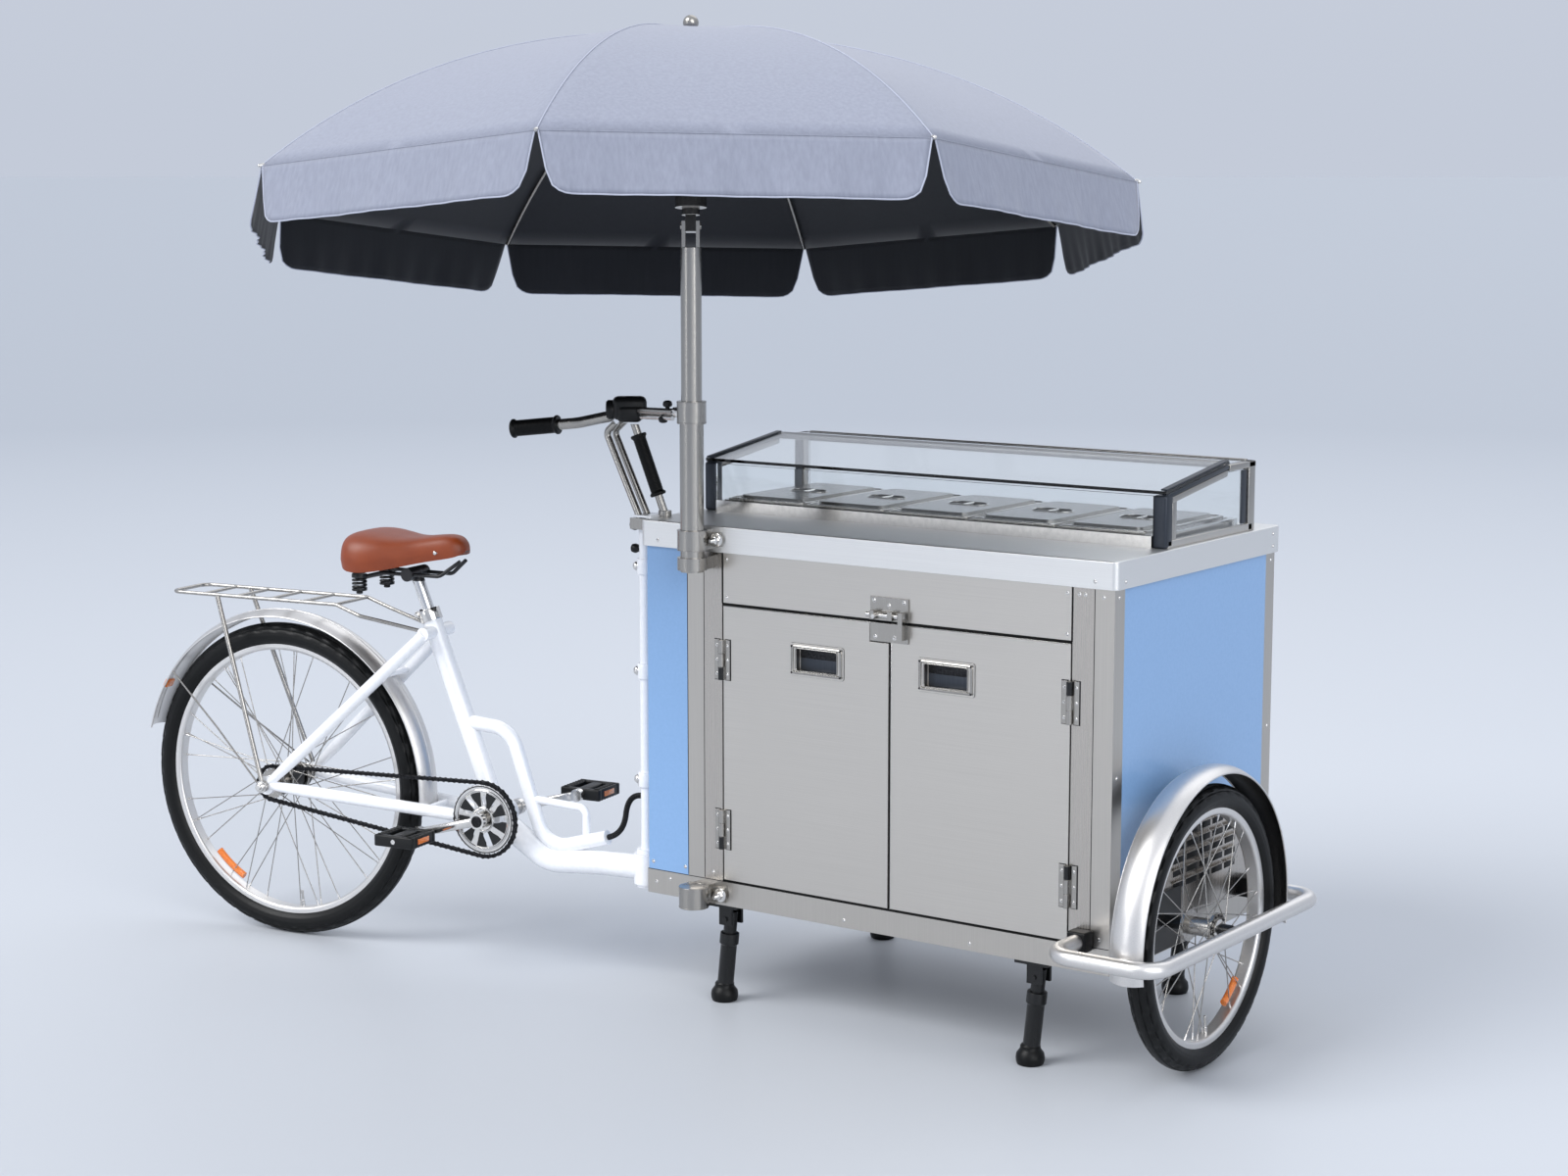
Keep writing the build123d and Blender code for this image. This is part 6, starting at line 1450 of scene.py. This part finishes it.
class CART_OT_bumper(bpy.types.Operator):
    """Fit the bumper's rubber blocks, the leg collars and the feet"""

    bl_idname = "cart.bumper"
    bl_label = "Bumper Blocks and Feet"

    def execute(self, context):
        rubber = Shape("bumper_blocks", CABINET)
        rubber.block((38, 31, 38), (1000, -7.5, 263), "rubber", 4.0)
        rubber.block((31, 38, 38), (1067.5, 526, 263), "rubber", 4.0)
        rubber.done("cabinet", "black_rubber")
        lean = tan(radians(LEG_LEAN))
        way = Vector((-lean, 0, -1)).normalized()
        collar = [(13.2, 8), (18.5, 9), (19, 12), (19, 30), (17, 32), (16.2, 34), (16.2, 112)]
        foot = [(18, 0.4), (24.6, 1.0), (26.4, 6), (27, 13), (25.6, 21)]
        foot += [(21, 27), (19, 30), (19, 35), (16.4, 38)]
        for number, (x, y) in enumerate(LEG_PLACES, start=1):
            leg = Shape(f"leg_{number}_collars", CABINET)
            leg.lathe(collar, "black", Vector((x, y, 170.0)) + way * 22, way, 36)
            leg.lathe(foot, "rubber", (x - 157 * lean, y, 0), UP, 40)
            leg.done(f"leg_{number}", "black_metal")
        return {"FINISHED"}


class CART_OT_hose(bpy.types.Operator):
    """Run the ribbed cable hose from the cycle's beam to the column"""

    bl_idname = "cart.hose"
    bl_label = "Cable Hose"

    def execute(self, context):
        curve = bpy.data.curves.new("hose_route", "CURVE")
        curve.dimensions = "3D"
        curve.resolution_u = 70
        line = curve.splines.new("NURBS")
        line.points.add(len(HOSE_ROUTE) - 1)
        for point, (x, z) in zip(line.points, HOSE_ROUTE):
            point.co = (x, 0.0, z, 1.0)
        line.order_u = 3
        line.use_endpoint_u = True
        guide = add_object("hose_route", curve)
        context.view_layer.update()
        drawn = bpy.data.meshes.new_from_object(guide.evaluated_get(context.evaluated_depsgraph_get()))
        route = [vertex.co.copy() for vertex in drawn.vertices]
        bpy.data.objects.remove(guide)
        bpy.data.curves.remove(curve)
        bpy.data.meshes.remove(drawn)
        hose = Shape("ribbed_cable_hose", CYCLE)
        hose.tube(route, [5.2 if k % 3 == 0 else 6.0 for k in range(len(route))], "plastic", 20)
        made = hose.done(None, "black_rubber", ["cable_hose"], 25.0)
        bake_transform(made)
        return {"FINISHED"}


class CART_OT_stage(bpy.types.Operator):
    """Set the open pale floor, the even air and the soft lights"""

    bl_idname = "cart.stage"
    bl_label = "Stage"

    def execute(self, context):
        floor = self.floor()
        for name, spot, spread, share in (
            ("key", (-3.8, -6.2, 6.6), 34.0, 1.0),
            ("fill", (5.6, -3.2, 3.0), 44.0, 0.5),
            ("back", (-1.0, 6.0, 7.0), 50.0, 0.2),
            ("left_strip", (-2.2, -6.0, 0.3), 12.0, 0.07),
            ("right_strip", (6.2, -1.4, 0.4), 12.0, 0.09),
        ):
            light = bpy.data.lights.new(f"{name}_soft_light", "SUN")
            light.energy = context.scene.cart.key_power * share
            light.angle = radians(spread)
            lamp = add_object(f"{name}_soft_light", light)
            lamp.location = spot
            lamp.rotation_euler = (-Vector(spot)).to_track_quat("-Z", "Y").to_euler()
        world = bpy.data.worlds.new("studio_air")
        world.use_nodes = True
        tree = world.node_tree
        look = add_node(tree, "ShaderNodeTexCoord").outputs["Generated"]
        rise = add_node(tree, "ShaderNodeSeparateXYZ", {0: look}).outputs["Z"]
        air = mix(tree, ranged(tree, rise, (0.02, 0.9)), "#C4CBD9", "#E6EAF2")
        feed(tree, tree.nodes["Background"], {0: air, 1: 1.0})
        context.scene.world = world
        context.scene.view_settings.view_transform = "Standard"
        return {"FINISHED"}

    @staticmethod
    def floor():
        """A wide round floor in matt paint, painted a little darker away from the cart as a painted falloff
        of the light.
        """
        material, tree, shader, where = start_material("matt_studio_paint")
        away = add_node(tree, "ShaderNodeVectorMath", {0: where}, operation="LENGTH").outputs["Value"]
        # Darker from 2 m to 13 m out: painted falloff of the light round the cart
        painted_light_falloff = mix(tree, ranged(tree, away, (2.0, 13.0)), "#C0C4CA", "#A1A7B0")
        feed(tree, shader, {"Base Color": painted_light_falloff, "Roughness": 0.42, "Specular IOR Level": 0.12})
        sheet = bmesh.new()
        rings = []
        for radius in (1.5, 4.0, 12.0, 60.0, 400.0):
            rings.append([sheet.verts.new((radius * cos(t), radius * sin(t), 0.0)) for t in circle(64)])
        sheet.faces.new(rings[0])
        for a, b in zip(rings, rings[1:]):
            for k in range(64):
                sheet.faces.new((a[k - 1], b[k - 1], b[k], a[k]))
        bmesh.ops.recalc_face_normals(sheet, faces=sheet.faces)
        data = bpy.data.meshes.new("studio_floor")
        sheet.to_mesh(data)
        sheet.free()
        data.materials.append(material)
        return add_object("studio_floor", data)


class CART_PT_panel(bpy.types.Panel):
    """The cart's settings and steps in the sidebar"""

    bl_idname = "CART_PT_panel"
    bl_label = "Ice Cream Cart"
    bl_space_type = "VIEW_3D"
    bl_region_type = "UI"
    bl_category = "Cart"

    def draw(self, context):
        for name in CartSettings.__annotations__:
            self.layout.prop(context.scene.cart, name)
        for step in STEPS:
            self.layout.operator(step.bl_idname)


STEPS = (
    CART_OT_camera,
    CART_OT_hose,
    CART_OT_finishes,
    CART_OT_canopy,
    CART_OT_saddle,
    CART_OT_tyres,
    CART_OT_fasteners,
    CART_OT_chain,
    CART_OT_grips,
    CART_OT_cranks,
    CART_OT_pedals,
    CART_OT_case,
    CART_OT_doors,
    CART_OT_clamps,
    CART_OT_wheels,
    CART_OT_vent,
    CART_OT_bumper,
    CART_OT_stage,
)
CLASSES = (CartSettings, *STEPS, CART_PT_panel)


def register():
    """Add the settings, operators and panel."""
    for kind in CLASSES:
        bpy.utils.register_class(kind)
    bpy.types.Scene.cart = bpy.props.PointerProperty(type=CartSettings)


def unregister():
    """Remove what register added."""
    del bpy.types.Scene.cart
    for kind in reversed(CLASSES):
        bpy.utils.unregister_class(kind)


def main():
    """Register the add-on and run every step in order."""
    register()
    for step in STEPS:
        group, name = step.bl_idname.split(".")
        result = getattr(getattr(bpy.ops, group), name)()
        if result != {"FINISHED"}:
            raise RuntimeError(f"{step.bl_label} did not finish")


if __name__ == "__main__":
    main()
